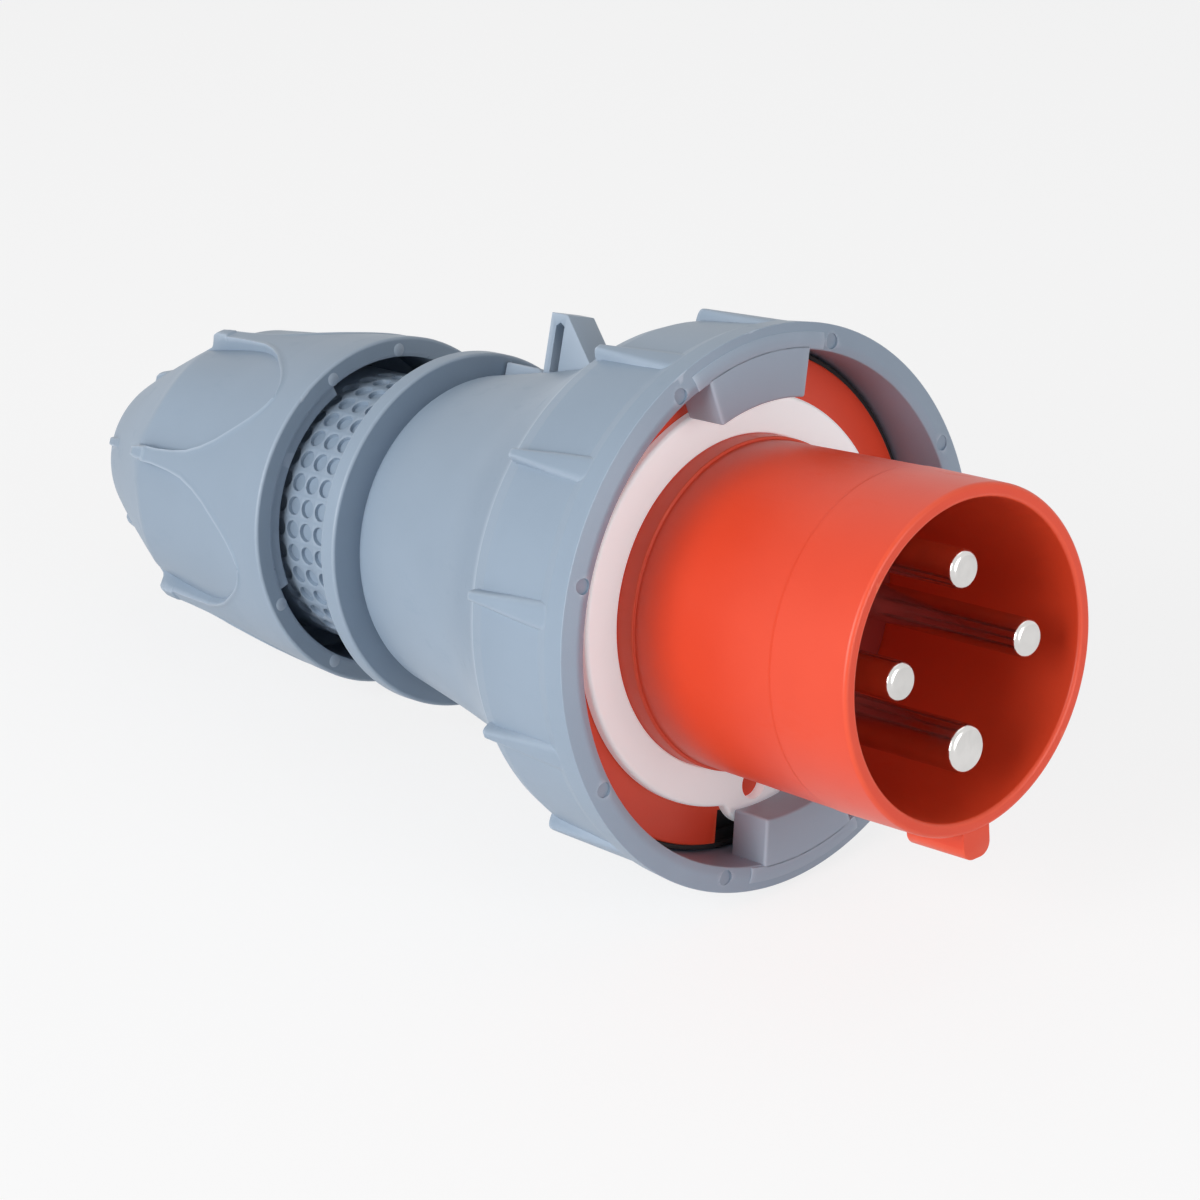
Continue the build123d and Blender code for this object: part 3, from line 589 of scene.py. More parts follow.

# %% [markdown]
# A black rubber seal sits behind the base disc and comes round its edge as a thin dark line, where it
# wipes along the inside of the ring. It is turned as one small section with a lip. A black tongue joined
# to it fills the notch as painted shade, standing in for the shadow under the bottom lug.

# %% Turn the base seal
seal_back = extent("base_seal")[1]
seal_lip_front, seal_lip_rear = base_x - 0.5, base_x - 1.95
seal_r, seal_lip_r, seal_gap = 51.1, 53.4, 0.05
seal_x, seal_in, seal_lip_in = flange_rear - seal_gap, base_r + seal_gap, base_flange_r + seal_gap
base_seal = mesh_piece("base_seal_skin", *lathe(rounded([
    (seal_lip_front, seal_lip_in, 0.15), (seal_lip_front, seal_lip_r, 0.3), (seal_lip_rear, seal_lip_r, 0.2),
    (seal_lip_rear, seal_r, 0.1), (seal_back, seal_r, 0.1), (seal_back, seal_in, 0.1),
    (seal_x, seal_in, 0.1), (seal_x, seal_lip_in, 0.1),
], step=4.0), columns=256))
# Painted shade: the black tongue in the notch stands in for the shadow under the bottom lug.
tongue_front, tongue_half, tongue_in, tongue_out = base_x - 3.2, 10.3, 45.1, 52.2
painted_shade_tongue = arc_block("painted_shade_tongue", [(tongue_front, tongue_in), (tongue_front, tongue_out),
                                        (seal_back, tongue_out), (seal_back, tongue_in)],
                        key_clock - tongue_half, key_clock + tongue_half, 0.2, 2)
join_pieces(base_seal, painted_shade_tongue)
settle(base_seal)
finish_piece(base_seal, "plug_body", black_rubber, "black_rubber", "base_seal")

# %% [markdown]
# ## The pins
# Each pin is turned too, with the rounded tip that guides it into its contact and, at its rear, the
# barrel that takes the wire. The section starts and ends on the axis itself, where the lathe's coincident
# points are merged into one.


# %% Turn the four pins
pin_reach, tip_round, barrel_front = 0.8, 1.3, -64.0
barrel_extra, barrel_wall, barrel_deep = 2.2, 2.0, 20.0


def pin_skin(name, radius):
    """A pin drawn about the plug's axis, then moved out to its own mount."""
    front, back, _, _ = extent(name)
    front += pin_reach
    barrel_r, floor_x = radius + barrel_extra, back + barrel_deep
    verts, faces = lathe(rounded([
        (front, 0.0, 0.0), (front, radius, tip_round), (barrel_front, radius, 0.2),
        (barrel_front, barrel_r, 0.3), (back, barrel_r, 0.4), (back, barrel_r - barrel_wall, 0.2),
        (floor_x, barrel_r - barrel_wall, 0.3), (floor_x, 0.0, 0.0),
    ], step=6.0), columns=56)
    axis_point = to_plug @ Vector(mounts[name + "_contact"]["pos_m"])
    verts[:, 1] += axis_point.y
    verts[:, 2] += axis_point.z
    return settle(mesh_piece(name + "_skin", verts, faces))


for name in ("phase_pin_1", "phase_pin_2", "phase_pin_3", "earth_pin"):
    radius = mounts[name + "_contact"]["dims"]["r_mm"]
    finish_piece(pin_skin(name, radius), "plug_body", plated_pin, "plated_pin", name)

# %% [markdown]
# ## The white gasket
# A flat ring of soft white rubber, with a round lobe where it runs under the key and a hole in the lobe.
# Its edge is a circle everywhere but at the lobe, so the lathe's `shape` swells the outer edge there to
# the lobe's own circle.


# %% Turn the gasket with its lobe
gasket_front, gasket_back, _, _ = extent("face_gasket")
gasket_bore, gasket_r = collar_r + 0.08, 43.6
lobe_r, lobe_centre, lobe_clock, hole_r = 9.0, 40.2, housing_clock + 177.3, 3.5


def lobe_swell(x, r, clock):
    """Push the outer edge out to the lobe's circle near the key."""
    off = np.radians((clock - lobe_clock + 180) % 360 - 180)
    inside = np.clip(lobe_r ** 2 - (lobe_centre * np.sin(off)) ** 2, 0.0, None)
    reach = np.where(np.cos(off) > 0, lobe_centre * np.cos(off) + np.sqrt(inside), 0.0)
    edge = np.maximum(gasket_r, np.where(inside > 0, reach, 0.0))
    share = np.clip((r - gasket_bore) / (gasket_r - gasket_bore), 0.0, 1.0)
    return r + (edge - gasket_r) * share


gasket = mesh_piece("gasket_skin", *lathe(rounded([
    (gasket_front, gasket_bore, 0.4), (gasket_front, gasket_r, 0.9), (gasket_back, gasket_r, 0.3),
    (gasket_back, gasket_bore, 0.2),
], step=1.0), columns=360, shape=lobe_swell))
hole_top, hole_foot = gasket_front + 2, gasket_back - 0.5
hole_verts, hole_faces = lathe(np.array([(hole_top, 0.0), (hole_top, hole_r), (hole_foot, hole_r),
                                         (hole_foot, 0.0)]), columns=40)
hole_verts[:, 2] += lobe_centre
carve(gasket, turn_to(mesh_piece("gasket_hole", hole_verts, hole_faces), lobe_clock))
settle(gasket)
finish_piece(gasket, "plug_body", pale_seal, "pale_seal", "face_gasket")

# %% [markdown]
# ## The bayonet ring
# The band is turned. Its grip ribs are wedges: narrow rounded knobs at the rear that stand proud of the
# band, spreading and fading into it towards the front. One rib is drawn as a pillow of points and the
# rows tree copies it round. The eight round marks on the front face are where ejector pins pushed the
# moulding out of its tool: the same tree copies one small cutter. Two lugs reach inwards behind the
# face, each with a thin pad between it and the band.


# %% One rib as a soft wedge
ring_front = extent("bayonet_ring")[0]
ring_back, ring_lip_front = -85.4, -82.5
ring_bore, ring_front_r, ring_band_r, ring_shoulder_r, ring_lip_r = 53.9, 59.5, 57.9, 56.0, 51.8
rib_rear, rib_front, knob_round, rib_middle_r = -84.7, -57.3, 1.7, 57.0
rib_half, rib_crest, rib_root, rib_under = (1.25, 3.65), (58.25, 58.95), (53.8, 56.6), 0.3


def between(ends, t):
    """The value that lies a share t of the way from the first end to the second."""
    return ends[0] + (ends[1] - ends[0]) * t


def rib_mesh(name, steps_along=30, steps_across=16):
    """A closed pillow of points: a sheet over the rib and a sheet under its root, joined at the rim."""
    top, bottom = [], []
    for i in range(steps_along + 1):
        t = (i / steps_along) ** 1.8
        x = between((rib_rear, rib_front), t)
        half, crest, root = between(rib_half, t), between(rib_crest, t), between(rib_root, min(1.0, t * 2))
        nose = min(1.0, (x - rib_rear) / knob_round)
        rise = math.sqrt(max(0.0, 1 - (1 - nose) ** 2))
        for j in range(steps_across + 1):
            v = 2 * j / steps_across - 1
            side = max(0.0, 1 - abs(v) ** 4.5)
            angle = half * v * (0.4 + 0.6 * rise) / rib_middle_r
            crown = root + (crest - root) * rise * side ** 0.55
            for sheet, r in ((top, crown), (bottom, root - rib_under)):
                sheet.append((x, r * math.sin(angle), r * math.cos(angle)))
    cols, rows = steps_across + 1, steps_along + 1
    under = cols * rows
    faces = []
    for i in range(rows - 1):
        for j in range(cols - 1):
            a = i * cols + j
            faces.append((a, a + 1, a + cols + 1, a + cols))
            faces.append((under + a, under + a + cols, under + a + cols + 1, under + a + 1))
    rim = list(range(cols)) + [i * cols + cols - 1 for i in range(1, rows)]
    rim += [(rows - 1) * cols + j for j in range(cols - 2, -1, -1)]
    rim += [i * cols for i in range(rows - 2, 0, -1)]
    faces += [(a, b, b + under, a + under) for a, b in zip(rim, rim[1:] + rim[:1])]
    return mesh_piece(name, top + bottom, faces)


ribs = repeat_round(rib_mesh("ring_ribs"), grey_plastic, Count=12, First_Clock=15.0)
mark_r, mark_depth, mark_circle_r = 1.65, 0.7, 56.1
mark_line = [(1.0, 0.0), (1.0, mark_r)] + [(-mark_depth, r) for r in (mark_r, 1.3, 0.7, 0.0)]
marks = mesh_piece("ejector_marks", *lathe(np.array(mark_line), columns=32))
marks.data.transform(Matrix.Translation((ring_front, 0, mark_circle_r)))
marks = repeat_round(marks, grey_plastic, Count=8, First_Clock=22.5)

# %% The band, its two lugs and the join
crown_r, edge_drop, edge_long, step_long, shoulder_rise = 55.7, 1.0, 6.3, 9.4, 4.0
band = mesh_piece("ring_skin", *lathe(rounded([
    (ring_front - 0.45, ring_bore, 0.4), (ring_front, crown_r, 2.5),
    (ring_front - edge_drop, ring_front_r, 0.2), (ring_front - edge_long, ring_front_r - 0.5, 2.0),
    (ring_front - step_long, ring_band_r, 2.5),
    (ring_back + shoulder_rise, ring_shoulder_r, 4.0), (ring_back, 54.75, 0.25), (ring_back, ring_lip_r, 0.4),
    (ring_lip_front, ring_lip_r, 0.3), (ring_lip_front, ring_bore, 0.4),
]), columns=320))
carve(band, marks)
lug_front, lug_back, lug_in, lug_out = ring_front + 0.12, ring_front - 9.8, 44.2, ring_bore + 1.2
pad_back, pad_in, pad_edge, pad_out = lug_front - 1.6, ring_bore + 0.3, 56.0, 57.6
lugs = []
for lug_arc, pad_arc in (((345.5, 376.1), (342.0, 380.0)), ((163.3, 191.3), (162.0, 195.0))):
    lugs.append(arc_block("lug", [(lug_front, lug_in), (lug_front, lug_out), (lug_back, lug_out),
                                  (lug_back, lug_in)], *lug_arc, 0.55))
    lugs.append(arc_block("pad", [(lug_front, pad_in), (lug_front, pad_edge), (lug_front - 0.5, pad_out),
                                  (pad_back, pad_out), (pad_back, pad_in)], *pad_arc, 0.1))
for extra in (ribs, *lugs):
    tidy_normals(extra)
join_pieces(band, ribs, *lugs)
settle(band, 42.0)
finish_piece(band, "turning_ring", grey_plastic, "grey_shell", "bayonet_ring")

# %% [markdown]
# ## The bell and its strap eye
# The housing flares like a trumpet from the gland to the ring. Its outer line is a smooth curve through
# four radii, so a spline is sampled for the section instead of corners, and a rounded shoulder ends it.
# The eye that a sealing cap's strap is tied to is a small wedge with a slot through it. A low stop pad
# lies on the shoulder beside the eye.


# %% Sample the flare
def smooth_line(waypoints, samples):
    """Points along a smooth curve through the waypoints, by Catmull-Rom steps."""
    pts = [Vector(p) for p in waypoints]
    pts = [2 * pts[0] - pts[1]] + pts + [2 * pts[-1] - pts[-2]]
    line = []
    per_stretch = samples // (len(pts) - 3)
    for a, b, c, d in zip(pts, pts[1:], pts[2:], pts[3:]):
        for k in range(per_stretch):
            t = k / per_stretch
            line.append(0.5 * ((2 * b) + (c - a) * t + (2 * a - 5 * b + 4 * c - d) * t ** 2
                               + (3 * b - a - 3 * c + d) * t ** 3))
    return line + [pts[-2]]


bell_front, bell_rear, _, _ = extent("front_housing")
flare_start, wall = ring_back - 0.12, 3.2
shoulder_long, shoulder_r, shoulder_drop = 5.5, 35.65, 3.7
spigot_r, groove_r, groove_front, skirt_r = 53.5, 51.4, -82.0, 51.2
ledge_front, ledge_rear, ledge_bore, flare_bore, rear_bore = -70.5, -75.0, 39.0, 48.1, 27.3
shoulder_x = bell_rear + shoulder_long
flare = [(flare_start, 54.5), (-104.0, 44.5), (-120.0, 40.1), (shoulder_x, shoulder_r)]
outer_line = smooth_line(flare, 36)
outer_line += [(bell_rear + shoulder_long * (1 - t), shoulder_r - shoulder_drop * t ** 1.8)
               for t in (0.15, 0.3, 0.45, 0.6, 0.75, 0.9, 1.0)]
inner_line = smooth_line([(x, r - wall) for x, r in flare], 18)
groove = [(flare_start, groove_r), (groove_front, groove_r), (groove_front, spigot_r)]
front_part = [(bell_front, spigot_r), (bell_front, skirt_r), (ledge_front, skirt_r),
              (ledge_front, ledge_bore), (ledge_rear, ledge_bore), (ledge_rear, flare_bore),
              (flare_start, flare_bore)]
rear_part = [(shoulder_x, rear_bore), (bell_rear, rear_bore)]
section = [*groove, *front_part, *inner_line, *rear_part, *reversed(outer_line)]
bell = mesh_piece("bell_skin", *lathe(np.array([tuple(Vector(p)) for p in section]), columns=256))

# %% Draw the strap eye and join it
eye_rear, eye_front, eye_top, eye_half = -129.4, -113.0, 51.3, 4.0
eye_outline = [(eye_rear, eye_top), (eye_rear + 5.0, eye_top), (eye_front, 39.6), (eye_front, 38.0),
               (eye_rear, 36.0)]
slot_rear, slot_front, slot_foot, slot_side, slot_top = eye_rear + 1.9, eye_rear + 4.5, 37.8, 48.6, 49.4
eye_slot = [(slot_rear, slot_foot), (slot_rear, slot_side), (eye_rear + 3.2, slot_top),
            (slot_front, slot_side), (slot_front, slot_foot)]


def plate(name, outline, half):
    """An upright plate, drawn as an outline in x and height."""
    return slab(name, *[[(x, y, z) for x, z in outline] for y in (-half, half)])


eye = plate("strap_eye", eye_outline, eye_half)
carve(eye, plate("eye_slot", eye_slot, eye_half + 1))
turn_to(soften(eye, 0.35, 3), housing_clock + 15.0)
stop_rear, stop_top_r, stop_arc = bell_rear + 0.5, 38.3, (22.5, 48.5)
stop_pad = arc_block("stop_pad", [(stop_rear, 33.0), (stop_rear, stop_top_r), (-137.5, stop_top_r),
                                  (-130.5, 34.0), (-137.0, 33.5)], *stop_arc, 0.5, columns=16)
join_pieces(bell, eye, stop_pad)
settle(bell)
finish_piece(bell, "plug_body", grey_plastic, "grey_shell", "front_housing")

# %% [markdown]
# ## The gland body and its dimpled neck
# Flange and neck are one turned piece. A grid of shallow round cups covers the neck, to give a hand hold
# while the nut is off: thirty-six to a row, one row every 4.65 mm. A cup needs an opening in the
# surface it sits in, so the neck's skin is built from tiles: one tile is a patch of the neck with its
# cup, a few dozen faces, and the rows tree lays the tiles edge to edge over a band sunk into the neck.

# %% Turn the gland body without its dimpled band
_, neck_end, _, flange_r = extent("gland_body")
neck_r, neck_bore, neck_deep, sunk_r = 30.8, 26.0, 22.0, 29.5
collar_bore, collar_out, collar_long, flange_back = 22.5, 27.0, 10.0, bell_rear - 4.5
dimple_r, dimple_deep, dimple_count, dimple_rows, dimple_pitch = 2.05, 0.95, 36, 6, 4.65
dimple_first_x, dimple_clock = -155.4, housing_clock + 4.5
band_top = dimple_first_x + dimple_pitch / 2
band_bottom = dimple_first_x - (dimple_rows - 0.5) * dimple_pitch
bore_end, collar_end = neck_end + neck_deep, bell_rear + collar_long
gland = mesh_piece("gland_skin", *lathe(rounded([
    (band_top, sunk_r, 0), (band_bottom, sunk_r, 0), (band_bottom, neck_r, 0), (neck_end, neck_r, 0.4),
    (neck_end, neck_bore, 0.3), (bore_end, neck_bore, 0.3), (bore_end, collar_bore, 0.3),
    (collar_end, collar_bore, 0.3), (collar_end, collar_out, 0.3), (bell_rear, collar_out, 0.2),
    (bell_rear, flange_r, 0.7), (flange_back, flange_r, 0.7), (flange_back, neck_r, 0.3),
    (band_top, neck_r, 0),
]), columns=216))


# %% One tile of the neck with its cup
cup_edge, cup_lip, cup_wall, cup_floor_r = 0.15, 0.08, 0.1, 0.6


def neck_tile(name, ring):
    """A patch of the neck, one pitch square, with a shallow cup sunk in its middle."""
    half_x, half_angle = dimple_pitch / 2, math.pi / dimple_count
    turns = [2 * math.pi * k / ring for k in range(ring)]
    levels = [(dimple_r + cup_edge, 0.0), (dimple_r, cup_lip), (dimple_r - cup_wall, dimple_deep),
              (cup_floor_r, dimple_deep)]
    verts, faces = [], []

    def lay(x, side, drop):
        r = neck_r - drop
        verts.append((x, r * math.sin(side), r * math.cos(side)))

    for turn in turns:
        c, q = math.cos(turn), math.sin(turn)
        reach = 1 / max(abs(c), abs(q))
        lay(half_x * c * reach, half_angle * q * reach, 0.0)
    for out, drop in levels:
        for turn in turns:
            lay(out * math.cos(turn), out * math.sin(turn) / neck_r, drop)
    for level in range(len(levels)):
        for k in range(ring):
            a, b = level * ring + k, level * ring + (k + 1) % ring
            faces.append((a, b, b + ring, a + ring))
    faces.append(tuple(range(len(levels) * ring, (len(levels) + 1) * ring)))
    return mesh_piece(name, verts, faces)


# %% Lay the tiles and join them to the neck
tile = neck_tile("neck_tiles", 16)
tile.data.transform(Matrix.Translation((dimple_first_x, 0, 0)))
tile = repeat_round(tile, grey_plastic, Count=dimple_count, Rows=dimple_rows, Row_Pitch=dimple_pitch,
                    First_Clock=dimple_clock)
join_pieces(gland, tile)
settle(gland)
finish_piece(gland, "plug_body", grey_plastic, "grey_shell", "gland_body")

# %% [markdown]
# ## The gland nut
# The nut is a long blunt cone with a domed nose and six leaf-shaped grips. Each grip is a swollen pillow
# sunk into the side, bounded by a crisp leaf outline, and narrow ridges with rounded ends stand between
# the grips. Seen as a map that wraps round the axis this is one rule, so the `shape` function of the
# lathe holds it: the radius is the cone's outside a leaf and the pillow's inside it, with a wall a few
# tenths of a millimetre wide at the border and a thin raised bead round the leaf's tip. An arc of lip
# stands in the nut's mouth, and ejector marks are dotted round its rim.
#
# A mesh with even columns would cross the border in steps. The `gather` function slides the columns, so
# that a fixed number lie inside each leaf, on its wall, on its bead and between the leaves, and the wall
# comes out clean from end to end.

# %% The rule of the leaves
nut_rim, nut_end, _, nut_rim_r = extent("gland_nut")
sector, leaf_clock, leaf_r = 60.0, housing_clock - 40.0, 37.0
leaf_side = np.array([(-241.0, 27.1), (-220.0, 27.1), (-213.4, 26.3), (-207.6, 25.0), (-202.4, 22.4),
                      (-197.7, 18.9), (-193.8, 14.9), (-190.5, 11.3), (-188.4, 8.7), (-186.9, 6.3),
                      (-185.9, 4.2), (-185.3, 2.3), (-185.0, 0.9), (-184.9, 0.0)])
leaf_foot, leaf_tip, leaf_border = -243.0, -184.9, 0.38
bead_wide, bead_high, bead_tip, bead_fade = 1.3, 0.3, -184.5, (-214.0, -204.0)
pillow_foot, pillow_long, pillow_bend, pillow_top = -242.0, 59.0, (16.1, 36.0), (33.15, 38.5)
crease_wide = 0.7
ridge_side = np.array([(-233.2, 0.0), (-231.2, 33.0), (-230.2, 35.2), (-228.6, 36.1), (-226.5, 36.3),
                       (-224.0, 36.35)])
ridge_r, ridge_half, ridge_slim = 36.0, (2.15, 1.25), ([-232.5, -227.0], [0.7, 1.0])
nib_side = np.array([(-258.9, 18.6), (-258.2, 20.4), (-256.8, 21.3), (-252.0, 22.5), (-250.6, 22.6)])
nib_r, nib_half = 21.0, (1.45, 0.7)
columns_in, columns_border, columns_bead, columns_out = 15, 2, 3, 8
half_columns = columns_in + columns_border + columns_bead + columns_out
nut_columns = 12 * half_columns


def smooth(value, low, high):
    """An S-shaped step from 0 at low to 1 at high."""
    t = np.clip((value - low) / (high - low), 0.0, 1.0)
    return t * t * (3 - 2 * t)


def read_off(table, x):
    """The height that a table of (x, height) rows gives at x."""
    return np.interp(x, table[:, 0], table[:, 1])


def leaf_edge(x):
    """Half width of the leaf and of its border wall at x, in degrees."""
    side = read_off(leaf_side, x)
    return side, np.minimum(np.degrees(leaf_border / leaf_r), side / 2)


def along_leaves(x, clock):
    """Slide the columns so that some follow the leaf's border and its bead from end to end."""
    side, border = leaf_edge(x)
    bead = np.full_like(side, np.degrees(bead_wide / leaf_r))
    leaf = np.floor(clock / sector + 1e-9)
    place = (clock / sector - leaf) * 2 * half_columns - half_columns
    h = np.abs(place)
    on_bead = h - columns_in - columns_border
    inside = (side - border) * h / columns_in
    wall = side - border + border * (h - columns_in) / columns_border
    rim = side + bead * on_bead / columns_bead
    outside = side + bead + (sector / 2 - side - bead) * (on_bead - columns_bead) / columns_out
    off = np.select([h <= columns_in, on_bead <= 0, on_bead <= columns_bead], [inside, wall, rim], outside)
    return leaf_clock + sector * leaf + np.sign(place) * off


def pillow_radius(x, off):
    """Distance from the axis to the pillow at an angle off the leaf's middle."""
    t = (x - pillow_foot) / pillow_long
    bend = between(pillow_bend, t)
    middle = between(pillow_top, t) - bend
    across = np.clip(middle * np.sin(off) / bend, -1, 1)
    return middle * np.cos(off) + bend * np.sqrt(1 - across ** 2)


def soft_lower(a, b, blend):
    """The lower of two heights, with the crease between them rounded."""
    share = np.clip(0.5 + 0.5 * (b - a) / blend, 0.0, 1.0)
    return b + (a - b) * share - blend * share * (1 - share)


def raised(body, table, x, across):
    """The body lifted to a table's height along the table's stretch of x, by the share across."""
    lifted = body + np.clip(read_off(table, x) - body, 0, None) * across
    return np.where((x > table[0, 0]) & (x < table[-1, 0]), lifted, body)


def grips(x, r, clock):
    """Sink the pillows, raise the ridges between them and the small nibs on the nose."""
    off = (clock - leaf_clock + sector / 2) % sector - sector / 2
    off_ridge = np.radians(sector / 2 - np.abs(off))
    side, border = leaf_edge(x)
    inside = smooth((side - np.abs(off)) / np.maximum(border, 1e-6), 0.0, 1.0)
    inside = inside * (x > leaf_foot) * (x < leaf_tip)
    floor = soft_lower(pillow_radius(x, np.radians(off)), r, crease_wide)
    beyond = np.clip(np.radians(np.abs(off) - side) * leaf_r / bead_wide, 0.0, 1.0)
    bead = bead_high * np.cos(beyond * math.pi / 2) * smooth(x, *bead_fade) * (x < bead_tip)
    body = (r + bead) + (floor - r - bead) * inside
    slim = np.interp(x, *ridge_slim)
    body = raised(body, ridge_side, x, smooth(off_ridge * ridge_r / slim, *ridge_half))
    return raised(body, nib_side, x, smooth(off_ridge * nib_r, *nib_half))


# %% Turn the nut: outer skin with the rule, inner skin plain
brow_x, nose_x, nose_r, end_r, nut_mouth_r = -224.0, -261.0, 17.4, 15.9, 35.3
nut_bore, nut_bore_long, shell_x, shell_r, thread_r = 15.6, 7.0, -227.3, 24.0, 31.1
dome = smooth_line([(brow_x, 36.0), (-229.4, 33.0), (-238.0, 29.0), (-248.0, 24.3), (-258.0, 19.3),
                    (nose_x, nose_r)], 60)
nut_step = 0.4
side = rounded([(nut_rim, nut_mouth_r, 0.5), (nut_rim, nut_rim_r, 0.7), (-181.4, 39.4, 3.0),
                (-192.0, 38.3, 4.0), (-208.0, 37.1, 5.0), (-223.6, 36.03, 0.0)], step=nut_step)
first, last = np.argmax(side[:, 0] >= nut_rim - 1e-6), np.argmin(side[:, 0])
outer_line = [tuple(p) for p in side[first:last] if p[0] > -223.5 and p[1] > 35.9]
for a, b in zip(dome, dome[1:]):
    steps = max(1, round((b - a).length / nut_step))
    outer_line += [tuple(a.lerp(b, k / steps)) for k in range(steps)]
outer_line += [(nose_x, nose_r), (-261.6, 16.95), (-261.95, 16.4), (nut_end, end_r)]
inner_line = [(nut_end, end_r), (nut_end + 0.2, nut_bore), (nut_end + nut_bore_long, nut_bore),
              (shell_x, shell_r), (shell_x, thread_r), (nut_rim - 23.5, thread_r),
              (nut_rim - 21.0, nut_mouth_r), (nut_rim - 0.4, nut_mouth_r), outer_line[0]]


def nut_sheet(name, line, shape=None):
    """An open sheet turned from a line, with its columns gathered along the leaves."""
    verts, faces = lathe(np.array(line), columns=nut_columns, shape=shape, gather=along_leaves)
    return mesh_piece(name, verts, faces[:(len(line) - 1) * nut_columns])


nut = nut_sheet("nut_skin", outer_line, grips)
join_pieces(nut, nut_sheet("nut_lining", inner_line))

# %% The lip in the nut's mouth and the marks on its rim
lip_top, lip_foot, lip_out, lip_in, lip_arc = nut_rim - 0.9, nut_rim - 3.1, 35.5, 32.6, (255.6, 339.4)
lip = arc_block("nut_lip", [(lip_top, lip_out), (lip_top, lip_in), (lip_foot, lip_in), (lip_foot, lip_out)],
                *lip_arc, 0.3, columns=48)
rim_mark_line = np.array([(0.05, 0.0), (0.05, 1.4), (-0.02, 1.5), (-0.3, 1.5), (-0.3, 0.0)])
rim_mark_circle_r = 36.9
nut_marks = []
for clock in (10.2, 339.6, 251.5, 217.3, 70.2, 130.2):
    mark = mesh_piece("nut_mark", *lathe(rim_mark_line, columns=24))
    mark.data.transform(Matrix.Translation((nut_rim, 0, rim_mark_circle_r)))
    nut_marks.append(turn_to(mark, clock))
join_pieces(nut, lip, *nut_marks)
settle(nut, 50.0)
finish_piece(nut, "turning_nut", grey_plastic, "grey_shell", "gland_nut")

# %% [markdown]
# ## The pieces that stay as packed
# The carrier, the O-ring, the gland's seal, cage and thrust ring, and the screws are small or deep
# inside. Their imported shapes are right, so they only get a finish.

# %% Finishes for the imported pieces
finish_of = {"contact_carrier": insulator, "body_o_ring": black_rubber, "gland_seal": black_rubber,
             "clamp_cage": inner_plastic, "thrust_ring": inner_plastic}
for name, node in nodes.items():
    material = screw_steel if "screw" in name else finish_of.get(name)
    if material:
        node.data.materials.clear()
        node.data.materials.append(material)
        print(name, "gets", material.name)

# %% [markdown]
# ## Camera
# The camera was found from the plug's own circles: seen through it, the mouth, the ring and the gasket
# fall where they should. It is given in the plug's frame, by how the axis is turned and rolled in the
# view and by where the mouth's centre lies in it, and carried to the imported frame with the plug.

# %% Place the camera
view_yaw, view_roll = math.radians(45.3287), math.radians(15.2101)
mouth_in_view = Vector((0.0724488, 0.0119997, 0.7522465))
picture_clock = 7.5
focal_pixels, picture_pixels, sensor = 3859.46, 1200.0, 36.0
axis_view = Vector((math.cos(view_yaw) * math.cos(view_roll), math.cos(view_yaw) * math.sin(view_roll),
                    -math.sin(view_yaw)))
top_view = Vector((0.0, axis_view.z, -axis_view.y)).normalized()
side_view = top_view.cross(axis_view)
plug_axes = (axis_view, side_view, top_view)
camera_turn = Matrix([(a.x, -a.y, -a.z) for a in plug_axes]).to_4x4()
camera_spot = Vector([-mouth_in_view.dot(a) for a in plug_axes])
camera = bpy.data.objects.new("camera", bpy.data.cameras.new("camera"))
bpy.context.scene.collection.objects.link(camera)
roll_back = Matrix.Rotation(-math.radians(picture_clock), 4, "X")
camera.matrix_world = plug_place @ roll_back @ Matrix.Translation(camera_spot) @ camera_turn
camera.data.sensor_width = sensor
camera.data.lens = sensor * (focal_pixels / picture_pixels)
camera.data.clip_start = 0.05
bpy.context.scene.camera = camera
print("camera at", [round(v, 3) for v in camera.matrix_world.translation])

# %% [markdown]
# ## Floor, backdrop and light
# The plug lies on a plain pale floor. Large soft lamps stand on the camera's side, because on the real
# thing the sides that face the camera are bright and the tops are a shade darker. The background is
# full white only to the camera, in reflections and through glass, so it never washes out the plug. To
# those same rays the floor is mostly white too, and shows only a faint shadow.


# %% Build the floor and the world
floor_size, floor_gap, floor_white, air_light = 3.0, 0.0001, 0.8, 0.24


def seen_rays(tree):
    """One for the rays that show the background: straight to the camera, by reflection or through glass."""
    rays = tree.nodes.new("ShaderNodeLightPath")
    total = rays.outputs["Is Camera Ray"]
    for label in ("Is Glossy Ray", "Is Transmission Ray"):
        either = tree.nodes.new("ShaderNodeMath")
        either.operation = "MAXIMUM"
        tree.links.new(total, either.inputs[0])
        tree.links.new(rays.outputs[label], either.inputs[1])
        total = either.outputs[0]
    return total


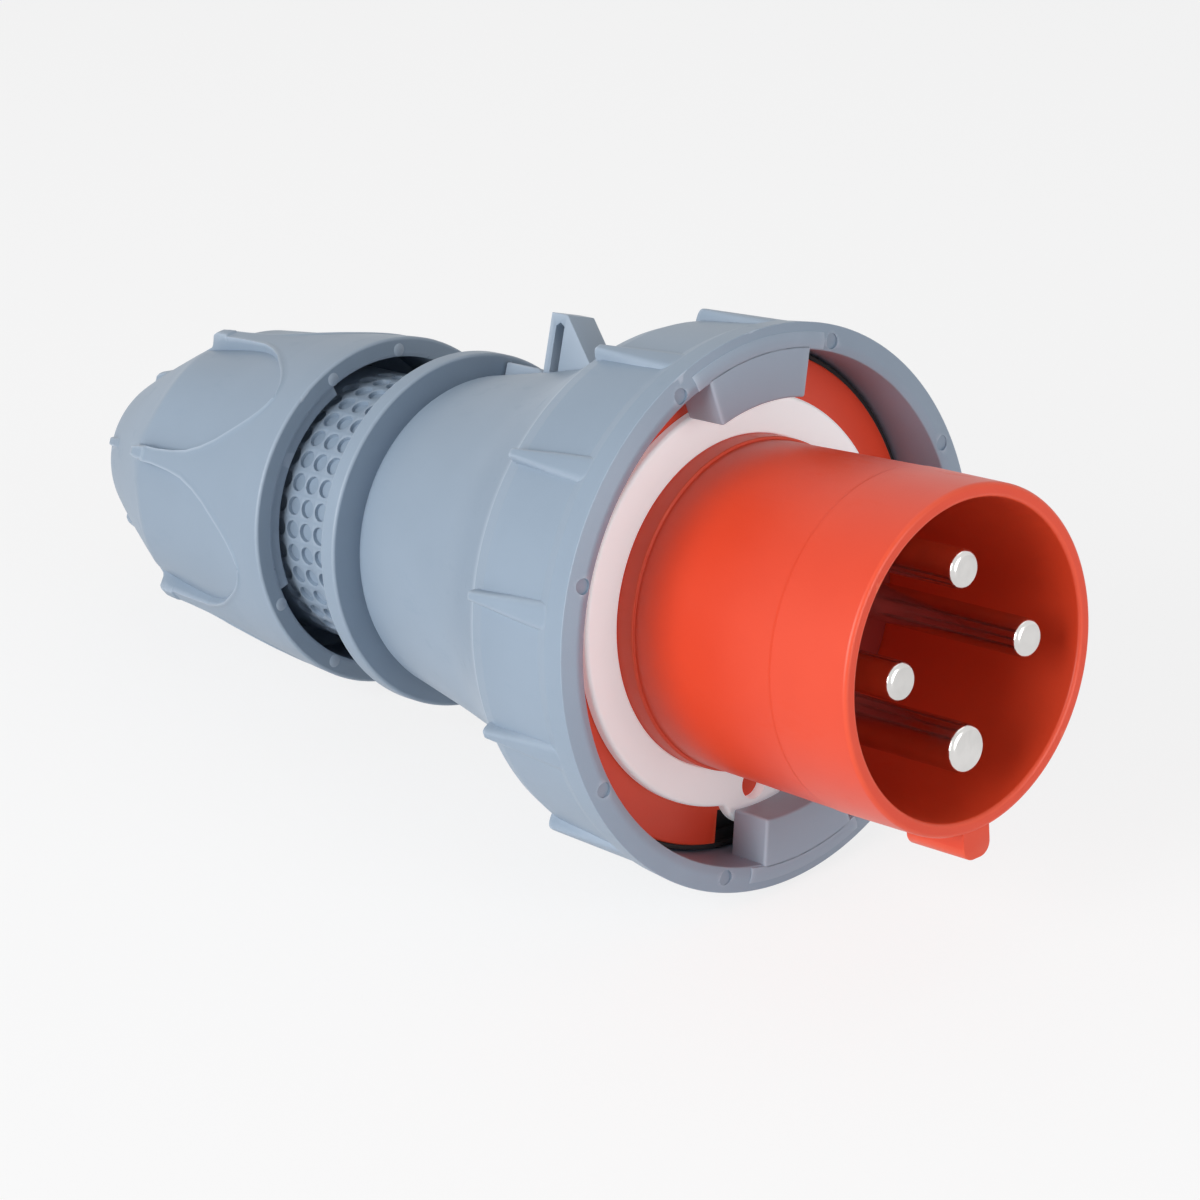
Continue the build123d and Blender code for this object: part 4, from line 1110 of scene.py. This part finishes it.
def stage_material():
    """A pale matt floor that the rays of `seen_rays` find mostly white."""
    material = bpy.data.materials.new("pale floor")
    material.use_nodes = True
    tree = material.node_tree
    shader = tree.nodes["Principled BSDF"]
    shader.inputs["Base Color"].default_value = (0.86, 0.86, 0.87, 1.0)
    shader.inputs["Roughness"].default_value = 0.9
    white, blend = tree.nodes.new("ShaderNodeEmission"), tree.nodes.new("ShaderNodeMixShader")
    white.inputs["Strength"].default_value = 1.0
    seen = spread(tree, seen_rays(tree), 0.0, 1.0, 0.0, floor_white)
    tree.links.new(seen, blend.inputs[0])
    tree.links.new(shader.outputs[0], blend.inputs[1])
    tree.links.new(white.outputs[0], blend.inputs[2])
    tree.links.new(blend.outputs[0], tree.nodes["Material Output"].inputs["Surface"])
    return material


floor = mesh_piece("floor", [(-floor_size, -floor_size, 0), (floor_size, -floor_size, 0),
                             (floor_size, floor_size, 0), (-floor_size, floor_size, 0)], [(0, 1, 2, 3)])
floor.data.transform(Matrix.Translation((0, 0, cad_low.z - floor_gap)))
floor.data.materials.append(stage_material())

world = bpy.data.worlds.new("soft white")
bpy.context.scene.world = world
world.use_nodes = True
air = world.node_tree
backdrop = air.nodes["Background"]
air.links.new(spread(air, seen_rays(air), 0.0, 1.0, air_light, 1.0), backdrop.inputs["Strength"])
backdrop.inputs["Color"].default_value = (1.0, 1.0, 1.0, 1.0)


# %% Hang the lamps
def lamp(name, towards, offset, size, power):
    """A round soft lamp: its offset is in the camera's frame and its size in metres, its power in watts."""
    light = bpy.data.lights.new(name, "AREA")
    light.shape = "DISK"
    light.size = size
    light.energy = power
    holder = bpy.data.objects.new(name, light)
    bpy.context.scene.collection.objects.link(holder)
    holder.location = camera.matrix_world @ Vector(offset)
    aim = (towards - holder.location).to_track_quat("-Z", "Y")
    holder.rotation_euler = aim.to_euler()


centre = Vector((0, 0, 0.06))
lamp("key", centre, (-0.85, 0.1, 0.1), 0.9, 13.0)
lamp("fill", mouth, (0.5, 0.0, -0.3), 0.45, 1.7)
lamp("top", centre, (0.1, 0.9, -0.7), 0.9, 1.0)
bpy.context.scene.view_settings.view_transform = "Standard"
